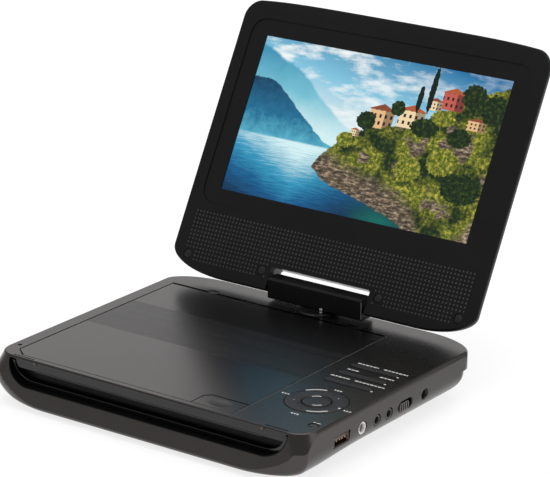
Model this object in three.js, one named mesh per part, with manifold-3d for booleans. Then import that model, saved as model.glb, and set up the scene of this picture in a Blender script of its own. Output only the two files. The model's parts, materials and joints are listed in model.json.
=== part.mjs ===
// Portable disc player with a screen that swivels and tilts on its base.
// Millimetres, +Z up, the screen faces -Y. The part's origin is the middle of its footprint on the ground.
// Base pieces are placed in a frame of their own: its z = 0 is the base's flat top and its y = 0 the back edge.
// Screen pieces are placed in a frame whose origin is on the tilt hinge's axis.
import * as THREE from 'three';
import { mergeVertices } from 'three/addons/utils/BufferGeometryUtils.js';
import Module from 'manifold-3d';

const wasm = await Module();
wasm.setup();

// ---------------------------------------------------------------- driving dimensions
const GAP = 0.3;                  // clearance between pieces that rest on each other
const BASE_HEIGHT = 25.2;         // ground to the base's flat top
const SHELL_BOTTOM = -23.6;       // underside of the lower shell
const PARTING = -9;               // the line between the upper and lower shell
const HALF_WIDTH = 94.7;          // of the base
const BASE_FRONT = -154.9;        // front edge of the base's top
const LIP_FRONT = -160.6;         // the lower lip, the furthest point forward
const BOWL = { side: 20, back: 5, drop: 13.1, chin: 3, flare: [-100, -142] };  // how the underside curves in
const INNER_FRONT = -149.3;       // the front wall's inner face
const PLATE = 2.2;                // thickness of the top wall and the lid
const OPENING = { left: -86, right: 50.25, front: -151.3, back: -19.2 };

const LID = { left: -85.6, right: 49.8, front: -150.9, back: -20.3, chamferX: 6.6, chamferY: 5.4 };
const LID_NOTCH = { left: 24.8, back: -137.1, bevel: 2.8 };
const LID_HINGE = { y: -17.9, z: -1.1, pin: 0.5, tabs: [-60, 28], tabWidth: 5, tabBack: -16.8 };
const LATCH = { x: 37, width: 6, noseY: -137.8, z: -6.2 };

const DISC = { x: -18, y: -84, well: 62.5, wall: 1.5, floor: -9 };
const DECK = { left: -85.4, right: 49.9, front: -149, back: -17.2, top: -2.6 };
const SLED = { lensY: -107, travel: 32, railX: 14, screwX: 20, z: -14.5 };

const PAD = { x: 72.5, y: -114.4, outer: 15.5, inner: 7.4, button: 7, proud: 0.4 };
const ROCKERS = { x: 72.25, length: 27.5, width: 4, ys: [-87, -75.3, -63.9], proud: 0.3 };
const SENSOR = { x: 88.5, y: -140, r: 2.5 };

const PORT_Z = -10.5;             // height of the row of sockets on the right-hand side
const SOCKET = { usb: -125, av: -107.6, phones: [-95.2, -84.7], dc: -52.9, inner: 81, face: 94.2 };
const POWER = { y: -70.2, slot: 12.6, height: 6, knob: 6.6, knobY: -71.7, travel: 2.5 };

const SWIVEL = { x: 0, y: -8, disc: 11, neck: 7.4, shaft: 4.4, bore: 2 };
const TILT = { y: -6.6, z: 6.1, angle: 28.5, shaft: 2 };
const BLOCK = { half: 29.4, depth: 10.8, bottom: 1.8, top: 13.2 };

const SCREEN = { half: 95.2, bottom: -3.4, top: 148.3, crown: 2.6, front: -5.1, bezel: 3.5, depth: 10.7 };
const LCD = { width: 154.1, height: 86.8, bottom: 44 };
const NOTCH = { half: 31, top: 9.7 };
const PLUGS = [[-85, 6], [85, 6], [-36.7, 6.5], [36.7, 6.5]];
const SPEAKER = { x: 62, z: 17, r: 12 };

const FEET = [[-66, -26], [66, -26], [-66, -134], [66, -134]];
const CASE_SCREWS = [[-50, -12.5], [50, -12.5], [-86, -141], [86, -146]];

// ---------------------------------------------------------------- materials
const paint = (color, roughness, metalness) => new THREE.MeshStandardMaterial({ color, roughness, metalness });
const FINISH = {
  shell: paint(0x6f6a68, 0.4, 0.3),
  lid: paint(0x625d5b, 0.32, 0.4),
  gloss: paint(0x0e0e10, 0.12, 0),
  panel: paint(0x202022, 0.5, 0),
  bezel: paint(0x1e1d1f, 0.45, 0),
  key: paint(0x2b2b2d, 0.4, 0.1),
  rubber: paint(0x141414, 0.9, 0),
  steel: paint(0xb8b8ba, 0.25, 1),
  board: paint(0x1f5a36, 0.6, 0),
  deck: paint(0x17171a, 0.55, 0),
  screen: paint(0x2e5f8a, 0.1, 0),
  cell: paint(0x3a4450, 0.6, 0),
  lens: paint(0x3a2a52, 0.05, 0),
};

// ---------------------------------------------------------------- solids
function solid(geometry) {
  const bare = geometry.clone();
  bare.deleteAttribute('normal');
  bare.deleteAttribute('uv');
  const merged = mergeVertices(bare, 1e-4);
  return new wasm.Manifold(new wasm.Mesh({
    numProp: 3,
    vertProperties: merged.attributes.position.array,
    triVerts: new Uint32Array(merged.index.array),
  }));
}

function geometryOf(body) {
  const mesh = body.getMesh();
  const geometry = new THREE.BufferGeometry();
  geometry.setAttribute('position', new THREE.BufferAttribute(mesh.vertProperties, 3));
  geometry.setIndex(new THREE.BufferAttribute(mesh.triVerts, 1));
  return geometry;
}

const cut = (body, ...tools) => geometryOf(tools.reduce((rest, tool) => rest.subtract(solid(tool)), solid(body)));
const join = (first, ...others) => geometryOf(others.reduce((sum, next) => sum.add(solid(next)), solid(first)));

function box(x0, x1, y0, y1, z0, z1) {
  const shape = new THREE.BoxGeometry(x1 - x0, y1 - y0, z1 - z0);
  return shape.translate((x0 + x1) / 2, (y0 + y1) / 2, (z0 + z1) / 2);
}

// a cylinder along Z between two heights
function disc(x, y, r, z0, z1, sides = 24) {
  return new THREE.CylinderGeometry(r, r, z1 - z0, sides).rotateX(Math.PI / 2).translate(x, y, (z0 + z1) / 2);
}

const rodX = (x0, x1, y, z, r, sides = 20) =>
  new THREE.CylinderGeometry(r, r, x1 - x0, sides).rotateZ(Math.PI / 2).translate((x0 + x1) / 2, y, z);

const rodY = (y0, y1, x, z, r, sides = 16) =>
  new THREE.CylinderGeometry(r, r, y1 - y0, sides).translate(x, (y0 + y1) / 2, z);

// a profile of [radius, height] points turned about a vertical axis
function turned(x, y, profile, sides = 24) {
  const points = profile.map(([r, h]) => new THREE.Vector2(r, h));
  return new THREE.LatheGeometry(points, sides).rotateX(Math.PI / 2).translate(x, y, 0);
}

function polygon(points) {
  return new THREE.Shape(points.map(([x, y]) => new THREE.Vector2(x, y)));
}

function roundedShape(x0, x1, y0, y1, r) {
  const shape = new THREE.Shape();
  shape.moveTo(x0 + r, y0);
  shape.lineTo(x1 - r, y0);
  shape.absarc(x1 - r, y0 + r, r, -Math.PI / 2, 0);
  shape.lineTo(x1, y1 - r);
  shape.absarc(x1 - r, y1 - r, r, 0, Math.PI / 2);
  shape.lineTo(x0 + r, y1);
  shape.absarc(x0 + r, y1 - r, r, Math.PI / 2, Math.PI);
  shape.lineTo(x0, y0 + r);
  shape.absarc(x0 + r, y0 + r, r, Math.PI, Math.PI * 1.5);
  return shape;
}

function prism(shape, z0, z1, curveSegments = 6) {
  return new THREE.ExtrudeGeometry(shape, { depth: z1 - z0, bevelEnabled: false, curveSegments }).translate(0, 0, z0);
}

// an upright outline in x and z, given depth along y
function upright(shape, y0, y1, curveSegments = 6) {
  return prism(shape, -y1, -y0, curveSegments).rotateX(Math.PI / 2);
}

const smoothstep = (from, to, value) => THREE.MathUtils.smoothstep(Math.abs(value), Math.abs(from), Math.abs(to));

// a rounded rectangle's points, anticlockwise; each pair of corners has its own two radii.
// frontW is the half width near the front, and crown is how far the back edge bows out at its middle.
function outline({ w, back, front, backR, frontR, frontW = w, crown = 0 }, steps = 6) {
  const corner = (x, y, [rx, ry], quarter) => Array.from({ length: steps + 1 }, (_, i) => {
    const a = (quarter + i / steps) * Math.PI / 2;
    return [x + rx * Math.cos(a), y + ry * Math.sin(a)];
  });
  const [start, end] = BOWL.flare;
  const side = Array.from({ length: 5 }, (_, i) => start + (end - start) * i / 4);
  const edge = Array.from({ length: 7 }, (_, i) => (w - backR[0]) * (3 - i) / 4);
  const points = [
    ...corner(w - backR[0], back - backR[1], backR, 0),
    ...(crown ? edge.map((x) => [x, back]) : []),
    ...corner(-w + backR[0], back - backR[1], backR, 1),
    ...(frontW === w ? [] : side.map((y) => [-w, y])),
    ...corner(-w + frontR[0], front + frontR[1], frontR, 2),
    ...corner(w - frontR[0], front + frontR[1], frontR, 3),
    ...(frontW === w ? [] : side.map((y) => [w, y]).reverse()),
  ];
  return points.map(([x, y]) => [
    x * (1 + (frontW / w - 1) * smoothstep(start, end, Math.min(y, 0))),
    y > (back + front) / 2 ? y + crown * (1 - Math.abs(x / w) ** 5) : y,
  ]);
}

// a closed skin through outlines of one point count, stacked upwards
function loft(levels) {
  const rings = levels.map(([z, plan]) => outline(plan).map(([x, y]) => new THREE.Vector3(x, y, z)));
  const count = rings[0].length;
  const index = [];
  for (let k = 0; k < rings.length - 1; k++) {
    for (let i = 0; i < count; i++) {
      const a = k * count + i;
      const b = k * count + (i + 1) % count;
      index.push(a, b, b + count, a, b + count, a + count);
    }
  }
  const top = (rings.length - 1) * count;
  for (let i = 1; i < count - 1; i++) {
    index.push(0, i + 1, i);
    index.push(top, top + i, top + i + 1);
  }
  const geometry = new THREE.BufferGeometry().setFromPoints(rings.flat());
  geometry.setIndex(index);
  return geometry;
}

// ---------------------------------------------------------------- the scene graph
const group = new THREE.Group();
const base = new THREE.Group();
const screen = new THREE.Group();
group.add(base);
base.add(screen);

function piece(parent, name, geometry, finish) {
  const mesh = new THREE.Mesh(geometry, FINISH[finish]);
  mesh.name = name;
  parent.add(mesh);
  return mesh;
}

// ---------------------------------------------------------------- casing of the base
const topPlan = (inset, front) => ({
  w: HALF_WIDTH - inset, back: -inset, front: front + inset, backR: [30, 16], frontR: [12, 9],
});

// the leaning front face, which meets the casing's corners in a U-shaped crease
const leaningFront = () => loft([
  [-30, { w: 120, back: 10, front: -162.9, backR: [6, 6], frontR: [11, 11] }],
  [-0.9, { w: HALF_WIDTH - 0.6, back: 10, front: BASE_FRONT, backR: [6, 6], frontR: [11, 11] }],
  [-0.3, { w: HALF_WIDTH - 0.8, back: 10, front: BASE_FRONT + 0.15, backR: [6, 6], frontR: [11, 11] }],
  [0.5, { w: HALF_WIDTH - 1.6, back: 10, front: BASE_FRONT + 0.9, backR: [6, 6], frontR: [11, 11] }],
]);

const recessShape = (margin) => roundedShape(-84.5 - margin, 84.5 + margin, -13.8 - margin, 12, 11.5);

// the scooped front and the seat of the black strip behind it
function frontRecess() {
  const scoop = solid(upright(recessShape(0), -170, -151.5)).intersect(solid(box(-200, 200, -200, -100, -40, -1.3)));
  const seat = solid(upright(recessShape(2), -151.6, -145)).intersect(solid(box(-200, 200, -200, -100, -40, -2.4)));
  return geometryOf(scoop.add(seat));
}

// the holes that the sockets and the switch look out through
function portHoles() {
  const usb = box(88, 97, SOCKET.usb - 6.6, SOCKET.usb + 6.6, PORT_Z - 3.1, PORT_Z + 3.1);
  const round = [[SOCKET.av, 3.65], [SOCKET.phones[0], 3.5], [SOCKET.phones[1], 3.5], [SOCKET.dc, 3.65]];
  const slot = roundedShape(POWER.y - POWER.slot / 2, POWER.y + POWER.slot / 2,
    PORT_Z - POWER.height / 2, PORT_Z + POWER.height / 2, POWER.height / 2 - 0.01);
  const stadium = prism(slot, 88, 97).rotateX(Math.PI / 2).rotateZ(Math.PI / 2);
  return [usb, stadium, ...round.map(([y, r]) => rodX(88, 97, y, PORT_Z, r))];
}

// a rocker key's outline, a bar with round ends
function rockerShape(y, margin) {
  const half = ROCKERS.length / 2 + margin;
  const thick = ROCKERS.width / 2 + margin;
  return roundedShape(ROCKERS.x - half, ROCKERS.x + half, y - thick, y + thick, thick - 0.01);
}

function upperShell() {
  const corners = { w: HALF_WIDTH, back: 0, front: LIP_FRONT, backR: [30, 16], frontR: [30, 8] };
  const skin = loft([
    [PARTING, corners],
    [-1.2, corners],
    [-0.35, { ...corners, w: HALF_WIDTH - 0.3, back: -0.3 }],
    [0, { ...corners, w: HALF_WIDTH - 0.9, back: -0.9 }],
  ]);
  const hollow = loft([
    [PARTING - 1, topPlan(2, INNER_FRONT - 2)],
    [-PLATE, topPlan(2, INNER_FRONT - 2)],
  ]);
  const window = prism(polygon([
    [OPENING.left, OPENING.back], [OPENING.left, LID.front + LID.chamferY],
    [OPENING.left + LID.chamferX, OPENING.front], [OPENING.right, OPENING.front], [OPENING.right, OPENING.back],
  ]), -PLATE - 1, 1);
  const keyHoles = [
    disc(PAD.x, PAD.y, PAD.outer + 0.4, -3, 1, 40),
    disc(SENSOR.x, SENSOR.y, SENSOR.r + GAP, -3, 1, 20),
    ...ROCKERS.ys.map((y) => prism(rockerShape(y, 0.4), -3, 1)),
  ];
  const front = geometryOf(solid(skin).intersect(solid(leaningFront())));
  const shell = solid(cut(front, hollow, window, frontRecess(), ...portHoles(), ...keyHoles));
  const bosses = CASE_SCREWS.map(([x, y]) => disc(x, y, 2.9, -13.5, -PLATE + 0.1, 16));
  const bores = CASE_SCREWS.map(([x, y]) => disc(x, y, 1.5, -14, -5, 12));
  const tabs = LID_HINGE.tabs.map((x) =>
    box(x - LID_HINGE.tabWidth / 2 - 0.4, x + LID_HINGE.tabWidth / 2 + 0.4, OPENING.back - 1, LID_HINGE.tabBack + 0.6, -PLATE - 1, 1));
  const pins = LID_HINGE.tabs.map((x) => rodX(x - 6.3, x + 6.3, LID_HINGE.y, LID_HINGE.z, LID_HINGE.pin + 0.15, 12));
  const whole = bosses.reduce((sum, boss) => sum.add(solid(boss)), shell);
  const swivelHole = disc(SWIVEL.x, SWIVEL.y, SWIVEL.shaft + 0.4, -PLATE - 1, 1);
  return cut(geometryOf(whole), ...bores, ...tabs, ...pins, swivelHole);
}
piece(base, 'upper_shell', upperShell(), 'shell');

// the lower shell's outline at a height: its sides and back curve in, and the chin at the front stays full
function bowlPlan(z) {
  const quarter = (depth) => 1 - Math.sqrt(Math.max(0, 1 - THREE.MathUtils.clamp(depth, 0, 1) ** 2));
  const turn = quarter((SHELL_BOTTOM + BOWL.drop - z) / BOWL.drop);
  const chin = quarter((SHELL_BOTTOM + BOWL.chin - z) / BOWL.chin);
  return {
    w: HALF_WIDTH - 0.2 - BOWL.side * turn, frontW: HALF_WIDTH - 0.21 - 0.45 * BOWL.side * turn,
    back: -2.4 - BOWL.back * turn, front: LIP_FRONT + BOWL.chin * chin,
    backR: [30, 17], frontR: [30 - 8 * turn, 8 + 7 * turn],
  };
}

function lowerShell() {
  const heights = [SHELL_BOTTOM, -23.35, -22.6, -21.4, -19.6, -17, -13.8, PARTING - GAP];
  const skin = loft(heights.map((z) => [z, bowlPlan(z)]));
  const inside = { backR: [26, 14], frontR: [12, 9] };
  const bowl = loft([
    [SHELL_BOTTOM + 2.2, { w: 79, back: -13, front: -147, ...inside }],
    [-18, { w: 87.6, back: -7.5, front: INNER_FRONT, ...inside }],
    [-14, { w: 91.2, back: -5.5, front: INNER_FRONT, ...inside }],
    [PARTING + 1, { w: 92.3, back: -4.8, front: INNER_FRONT, ...inside }],
  ]);
  const pillars = CASE_SCREWS.map(([x, y]) => disc(x, y, 4.4, SHELL_BOTTOM, -14, 16));
  const hollow = cut(bowl, ...pillars);
  const feet = FEET.map(([x, y]) => disc(x, y, 6.3, SHELL_BOTTOM - 1, SHELL_BOTTOM + 0.6));
  const heads = CASE_SCREWS.map(([x, y]) => disc(x, y, 2.9, SHELL_BOTTOM - 4, -20.1, 16));
  const shanks = CASE_SCREWS.map(([x, y]) => disc(x, y, 1.5, SHELL_BOTTOM, -10, 12));
  const bosses = CASE_SCREWS.map(([x, y]) => disc(x, y, 3.2, -13.8, -8, 16));
  const front = geometryOf(solid(skin).intersect(solid(leaningFront())));
  return cut(front, hollow, frontRecess(), ...portHoles(), ...feet, ...heads, ...shanks, ...bosses);
}
piece(base, 'lower_shell', lowerShell(), 'shell');

// the glossy strip at the back of the scoop, with a raised band under the top edge
const fascia = geometryOf(solid(upright(recessShape(1.6), -151.2, INNER_FRONT - GAP))
  .intersect(solid(box(-90, 90, -160, -140, -20, -2.7)))
  .add(solid(box(-69, 69, -153.4, -151.8, -6.4, -1.6)))
  .add(solid(box(-69, 69, -152, -151, -6.4, -2.7))));
piece(base, 'front_fascia', fascia, 'gloss');

FEET.forEach(([x, y], i) =>
  piece(base, `foot_${i + 1}`, turned(x, y, [
    [0, -BASE_HEIGHT], [5.2, -BASE_HEIGHT], [6, -BASE_HEIGHT + 0.7], [6, SHELL_BOTTOM + 0.3], [0, SHELL_BOTTOM + 0.3],
  ], 16), 'rubber'));

CASE_SCREWS.forEach(([x, y], i) =>
  piece(base, `case_screw_${i + 1}`, turned(x, y, [
    [0, -21.8], [2.5, -21.8], [2.5, -20.4], [1.2, -20.4], [1.2, -6], [0, -6],
  ], 12), 'steel'));

// ---------------------------------------------------------------- disc lid, its hinge and its catch
function discLid() {
  const plate = prism(polygon([
    [LID.left, LID.back], [LID.left, LID.front + LID.chamferY], [LID.left + LID.chamferX, LID.front],
    [LID_NOTCH.left, LID.front], [LID_NOTCH.left, LID_NOTCH.back - LID_NOTCH.bevel],
    [LID_NOTCH.left + LID_NOTCH.bevel, LID_NOTCH.back], [LID.right, LID_NOTCH.back], [LID.right, LID.back],
  ]), -PLATE + 0.1, 0);
  const rib = turned(DISC.x, DISC.y, [[56, -3.4], [57.2, -3.4], [57.2, -2], [56, -2], [56, -3.4]], 40);
  const tabs = LID_HINGE.tabs.map((x) =>
    box(x - LID_HINGE.tabWidth / 2, x + LID_HINGE.tabWidth / 2, LID.back - 1, LID_HINGE.tabBack, -1.9, -0.2));
  const catchLeg = box(LATCH.x - 3, LATCH.x + 3, -136.6, -135.2, LATCH.z, -2);
  const catchNose = box(LATCH.x - 3, LATCH.x + 3, LATCH.noseY, -136.5, LATCH.z, LATCH.z + 1);
  const bores = LID_HINGE.tabs.map((x) => rodX(x - 5, x + 5, LID_HINGE.y, LID_HINGE.z, LID_HINGE.pin + 0.15, 12));
  return cut(join(plate, rib, ...tabs, catchLeg, catchNose), ...bores);
}
piece(base, 'disc_lid', discLid(), 'lid');

LID_HINGE.tabs.forEach((x, i) =>
  piece(base, `lid_hinge_pin_${i + 1}`, rodX(x - 6, x + 6, LID_HINGE.y, LID_HINGE.z, LID_HINGE.pin, 12), 'steel'));

const openOutline = polygon([
  [LID_NOTCH.left + 0.4, OPENING.front + 0.3], [LID.right - 0.1, OPENING.front + 0.3], [LID.right - 0.1, LID_NOTCH.back - 0.4],
  [LID_NOTCH.left + LID_NOTCH.bevel + 0.2, LID_NOTCH.back - 0.4],
  [LID_NOTCH.left + 0.4, LID_NOTCH.back - LID_NOTCH.bevel - 0.2],
]);
piece(base, 'open_button',
  join(prism(openOutline, -1.5, 0), box(LATCH.x - 8, LATCH.x + 8, -147.5, -146.5, -4.6, -1.4)), 'lid');

piece(base, 'lid_latch',
  join(box(LATCH.x - 7, LATCH.x + 7, -145.6, -139.5, -7.4, -6.2),
    box(LATCH.x - 3, LATCH.x + 3, -139.6, LATCH.noseY - 0.3, -7.4, -4.6)), 'deck');

// ---------------------------------------------------------------- disc deck and drive
function discDeck() {
  const plate = prism(polygon([
    [DECK.left, DECK.back], [DECK.left, LID.front + LID.chamferY + 1], [DECK.left + LID.chamferX, DECK.front],
    [DECK.right, DECK.front], [DECK.right, DECK.back],
  ]), -4.2, DECK.top);
  const cup = disc(DISC.x, DISC.y, DISC.well + DISC.wall, DISC.floor - DISC.wall, DECK.top, 48);
  const well = disc(DISC.x, DISC.y, DISC.well, DISC.floor, 0, 48);
  const hubHole = disc(DISC.x, DISC.y, 14, -12, 0, 32);
  const lensSlot = box(DISC.x - 8, DISC.x + 8, DISC.y - 61.5, DISC.y, -12, 0);
  const latchHole = box(LID_NOTCH.left - 1.5, DECK.right + 1, DECK.front - 1, -133.5, -6, 0);
  const bosses = CASE_SCREWS.map(([x, y]) => disc(x, y, 3.3, -6, 0, 16));
  return cut(join(plate, cup), well, hubHole, lensSlot, latchHole, ...bosses);
}
piece(base, 'disc_deck', discDeck(), 'deck');

piece(base, 'disc_hub', turned(DISC.x, DISC.y, [
  [1.2, -8.3], [13, -8.3], [13, -7.3], [7.6, -7.3], [7.4, -5.4], [5.6, -4.4], [1.2, -4.4], [1.2, -8.3],
]), 'key');
piece(base, 'spindle_motor', turned(DISC.x, DISC.y, [
  [0, -18.4], [11.5, -18.4], [12, -17.9], [12, -12.5], [11, -11.4], [3, -11.4], [3, -10.6], [1, -10.6], [1, -4.8],
  [0, -4.8],
]), 'steel');

const sledFront = SLED.lensY - 9;
const sledBack = SLED.lensY + 9;
const sledBody = box(DISC.x - 18, DISC.x + SLED.screwX + 3, sledFront, sledBack, -17.2, -11.5);
const lensTower = box(DISC.x - 5.5, DISC.x + 5.5, SLED.lensY - 5.5, SLED.lensY + 5.5, -12, -9.8);
const sledBores = [-SLED.railX, SLED.railX].map((dx) => rodY(sledFront - 1, sledBack + 1, DISC.x + dx, SLED.z, 1.7));
const screwBore = rodY(sledFront - 1, sledBack + 1, DISC.x + SLED.screwX, SLED.z, 1.5);
const lensBore = disc(DISC.x, SLED.lensY, 3.3, -11.2, -9);
piece(base, 'laser_sled', cut(join(sledBody, lensTower), ...sledBores, screwBore, lensBore), 'deck');
piece(base, 'laser_lens', turned(DISC.x, SLED.lensY, [[0, -10.9], [3, -10.9], [3, -9.9], [1.8, -9.5], [0, -9.3]], 20),
  'lens');

[-SLED.railX, SLED.railX].forEach((dx, i) =>
  piece(base, `sled_rail_${i + 1}`, rodY(-149, -77, DISC.x + dx, SLED.z, 1.4), 'steel'));
piece(base, 'lead_screw', rodY(-149, -91, DISC.x + SLED.screwX, SLED.z, 1.2, 12), 'steel');
piece(base, 'sled_motor', rodY(-90.7, -76, DISC.x + SLED.screwX, SLED.z, 3.6, 16), 'steel');
piece(base, 'drive_chassis',
  cut(box(DISC.x - 22, DISC.x + 27, -145.5, -64, -20.1, -19.1), disc(DISC.x, DISC.y, 8, -21, -18)), 'steel');

// ---------------------------------------------------------------- keys and electronics
piece(base, 'dpad_ring', turned(PAD.x, PAD.y, [
  [PAD.inner, -4], [17, -4], [17, -3.3], [PAD.outer, -3.3], [PAD.outer, 0.1], [PAD.outer - 0.5, PAD.proud],
  [PAD.inner + 0.8, PAD.proud - 0.1], [PAD.inner, -0.2], [PAD.inner, -4],
], 40), 'key');
piece(base, 'ok_button', turned(PAD.x, PAD.y, [
  [0, -4.1], [PAD.button, -4.1], [PAD.button, 0], [PAD.button - 0.6, 0.3], [0, 0.3],
], 32), 'key');

ROCKERS.ys.forEach((y, i) =>
  piece(base, `rocker_key_${i + 1}`, join(
    prism(rockerShape(y, 0), -4, ROCKERS.proud),
    box(ROCKERS.x - 15, ROCKERS.x + 15, y - 3, y + 3, -4, -3.3)), 'key'));

piece(base, 'remote_sensor', turned(SENSOR.x, SENSOR.y, [
  [0, -3.2], [SENSOR.r, -3.2], [SENSOR.r, -0.2], [SENSOR.r - 0.5, 0.15], [0, 0.25],
], 20), 'gloss');
piece(base, 'key_mat', box(53.5, 91, -133.5, -57, -5.7, -5), 'rubber');
piece(base, 'key_board', box(53, 91.5, -134, -56, -7, -6), 'board');
piece(base, 'main_board', box(13, 86, -136, -22, -15.6, -14.1), 'board');
piece(base, 'battery_pack', prism(roundedShape(-81, -42, -134, -38, 3), -19.8, -11.2), 'cell');

// ---------------------------------------------------------------- sockets and power switch
const usbShell = box(SOCKET.inner, SOCKET.face, SOCKET.usb - 6.3, SOCKET.usb + 6.3, PORT_Z - 2.8, PORT_Z + 2.8);
const usbMouth = box(SOCKET.inner + 1.5, 97, SOCKET.usb - 5.8, SOCKET.usb + 5.8, PORT_Z - 2.3, PORT_Z + 2.3);
const usbTongue = box(SOCKET.inner + 1, SOCKET.face - 1.2, SOCKET.usb - 5, SOCKET.usb + 5, PORT_Z + 0.3, PORT_Z + 1.9);
piece(base, 'usb_socket', join(cut(usbShell, usbMouth), usbTongue), 'steel');

function jack(y, outer, bore, pin = 0) {
  const tube = cut(rodX(SOCKET.inner, SOCKET.face, y, PORT_Z, outer), rodX(SOCKET.inner + 2, 97, y, PORT_Z, bore));
  return pin ? join(tube, rodX(SOCKET.inner + 1, SOCKET.face - 1.5, y, PORT_Z, pin, 12)) : tube;
}
piece(base, 'av_jack', jack(SOCKET.av, 3.35, 1.9), 'steel');
SOCKET.phones.forEach((y, i) => piece(base, `headphone_jack_${i + 1}`, jack(y, 3.2, 1.8), 'rubber'));
piece(base, 'dc_jack', jack(SOCKET.dc, 3.35, 2.7, 0.7), 'rubber');

piece(base, 'power_switch', join(
  box(89.2, 94.9, POWER.knobY - POWER.knob / 2, POWER.knobY + POWER.knob / 2, PORT_Z - 2.5, PORT_Z + 2.5),
  box(84, 89.3, POWER.knobY - 2, POWER.knobY + 2, PORT_Z - 1.5, PORT_Z + 1.5)), 'key');
piece(base, 'switch_body', cut(
  box(80, 87.5, POWER.knobY - 4.8, POWER.knobY + 7.3, PORT_Z - 3.2, PORT_Z + 3.2),
  box(83.5, 90, POWER.knobY - 2.4, POWER.knobY + POWER.travel + 2.4, PORT_Z - 1.9, PORT_Z + 1.9)), 'deck');

// ---------------------------------------------------------------- swivel
piece(base, 'swivel_turret', turned(SWIVEL.x, SWIVEL.y, [
  [SWIVEL.bore, -6], [SWIVEL.shaft, -6], [SWIVEL.shaft, 0.25], [SWIVEL.disc, 0.25], [SWIVEL.disc, 0.5],
  [SWIVEL.disc - 0.3, 0.75], [SWIVEL.neck, 0.75], [SWIVEL.neck, 1.5], [SWIVEL.bore, 1.5], [SWIVEL.bore, -6],
]), 'steel');
piece(base, 'swivel_washer', turned(SWIVEL.x, SWIVEL.y, [
  [4.8, -3.1], [5.8, -3.1], [5.8, -2.5], [4.8, -2.5], [4.8, -3.1],
]), 'steel');
piece(base, 'swivel_retainer', turned(SWIVEL.x, SWIVEL.y, [
  [4.7, -4.6], [5.8, -4.6], [5.8, -3.4], [4.7, -3.4], [4.7, -4.6],
]), 'steel');

// the barrel that carries the tilt shaft, a long rounded bar on the turret
const blockSide = roundedShape(TILT.y - BLOCK.depth / 2, TILT.y + BLOCK.depth / 2, BLOCK.bottom, BLOCK.top, 3);
const blockBar = prism(blockSide, -BLOCK.half, BLOCK.half, 5).rotateX(Math.PI / 2).rotateZ(Math.PI / 2);
piece(base, 'hinge_block', cut(blockBar,
  rodX(-40, 40, TILT.y, TILT.z, TILT.shaft + 0.3),
  disc(SWIVEL.x, SWIVEL.y, SWIVEL.bore, 0, TILT.z, 16)), 'panel');

// ---------------------------------------------------------------- screen
const screenPlan = (inset, under) => ({
  w: SCREEN.half - inset, back: SCREEN.top - inset, front: SCREEN.bottom + under, crown: SCREEN.crown,
  backR: [9 - inset / 3, 9 - inset / 3], frontR: [34, 13 - inset / 3],
});

// levels of [depth behind the face, inset, inset of the bottom edge], as a body upright in the screen's frame
function screenBody(levels) {
  const ordered = [...levels].sort((a, b) => b[0] - a[0]);
  return loft(ordered.map(([depth, inset, under]) => [-depth, screenPlan(inset, under)])).rotateX(Math.PI / 2)
    .translate(0, SCREEN.front, 0);
}

const notch = (margin) => box(-NOTCH.half - margin, NOTCH.half + margin, -20, 20, -20, NOTCH.top + margin);
const shaftBores = [-1, 1].map((side) => rodX(side > 0 ? 29 : -42, side > 0 ? 42 : -29, 0, 0, TILT.shaft + 0.35));
const hollowOf = (levels) => geometryOf(solid(screenBody(levels)).subtract(solid(notch(1.8))));

function frontBezel() {
  const skin = screenBody([[0, 0.9, 0.9], [0.35, 0.3, 0.3], [1, 0, 0], [SCREEN.bezel, 0.6, 0]]);
  const window = box(-LCD.width / 2, LCD.width / 2, -20, 20, LCD.bottom, LCD.bottom + LCD.height);
  const frame = upright(roundedShape(-87.5, 87.5, LCD.bottom - 9, LCD.bottom + 96, 9), -20, SCREEN.front + 0.5);
  const sockets = PLUGS.map(([x, z]) => rodY(-20, SCREEN.front + 1.3, x, z, 2.8));
  return cut(skin, hollowOf([[2.2, 2.4, 2], [SCREEN.bezel + 1, 2.6, 2]]), window, frame, notch(0), ...sockets, ...shaftBores);
}
piece(screen, 'front_bezel', frontBezel(), 'bezel');

function rearShell() {
  const split = SCREEN.bezel + GAP;
  const skin = screenBody([[split, 0.7, 0], [5.5, 1.8, 0.4], [7.5, 3.8, 1.8], [9.2, 6.7, 4.2], [10.2, 9.7, 7],
    [SCREEN.depth, 14, 10.5]]);
  const hollow = hollowOf([[split - 1, 2.6, 2], [6, 4.2, 2.3], [7.4, 5.8, 3.4], [SCREEN.depth - 1.8, 8.8, 6.2]]);
  return cut(skin, hollow, notch(0), ...shaftBores);
}
piece(screen, 'rear_shell', rearShell(), 'shell');

const glass = box(-LCD.width / 2 + GAP, LCD.width / 2 - GAP, SCREEN.front + 1, SCREEN.front + 3,
  LCD.bottom + GAP, LCD.bottom + LCD.height - GAP);
piece(screen, 'lcd_panel',
  join(glass, box(-82, 82, SCREEN.front + 2.6, SCREEN.front + 5.6, LCD.bottom - 5, LCD.bottom + LCD.height + 4)),
  'screen');
piece(screen, 'lcd_board', box(-60, 60, SCREEN.front + 6, SCREEN.front + 7.2, LCD.bottom + 8, LCD.bottom + 66), 'board');

[-1, 1].forEach((side, i) => {
  const name = i + 1;
  const cone = turned(0, 0, [[0, 0], [9, 0], [10.5, 1.2], [SPEAKER.r, 1.2], [SPEAKER.r, 2.4], [6, 3.8], [0, 3.8]], 24);
  piece(screen, `speaker_${name}`,
    cone.rotateX(-Math.PI / 2).translate(side * SPEAKER.x, SCREEN.front + 2.6, SPEAKER.z), 'rubber');
  const inner = side * 33.5;
  const outer = side * 39.5;
  const saddle = box(Math.min(inner, outer), Math.max(inner, outer), -2.4, 2, -0.3, 6);
  const far = side * 60;
  const leaf = box(Math.min(inner, far), Math.max(inner, far), 1.9, 2.8, 3, 25);
  piece(screen, `hinge_bracket_${name}`,
    cut(join(saddle, leaf), rodX(-45, 45, 0, 0, TILT.shaft + 0.15)), 'steel');
});
piece(screen, 'hinge_shaft', rodX(-39, 39, 0, 0, TILT.shaft), 'steel');

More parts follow.
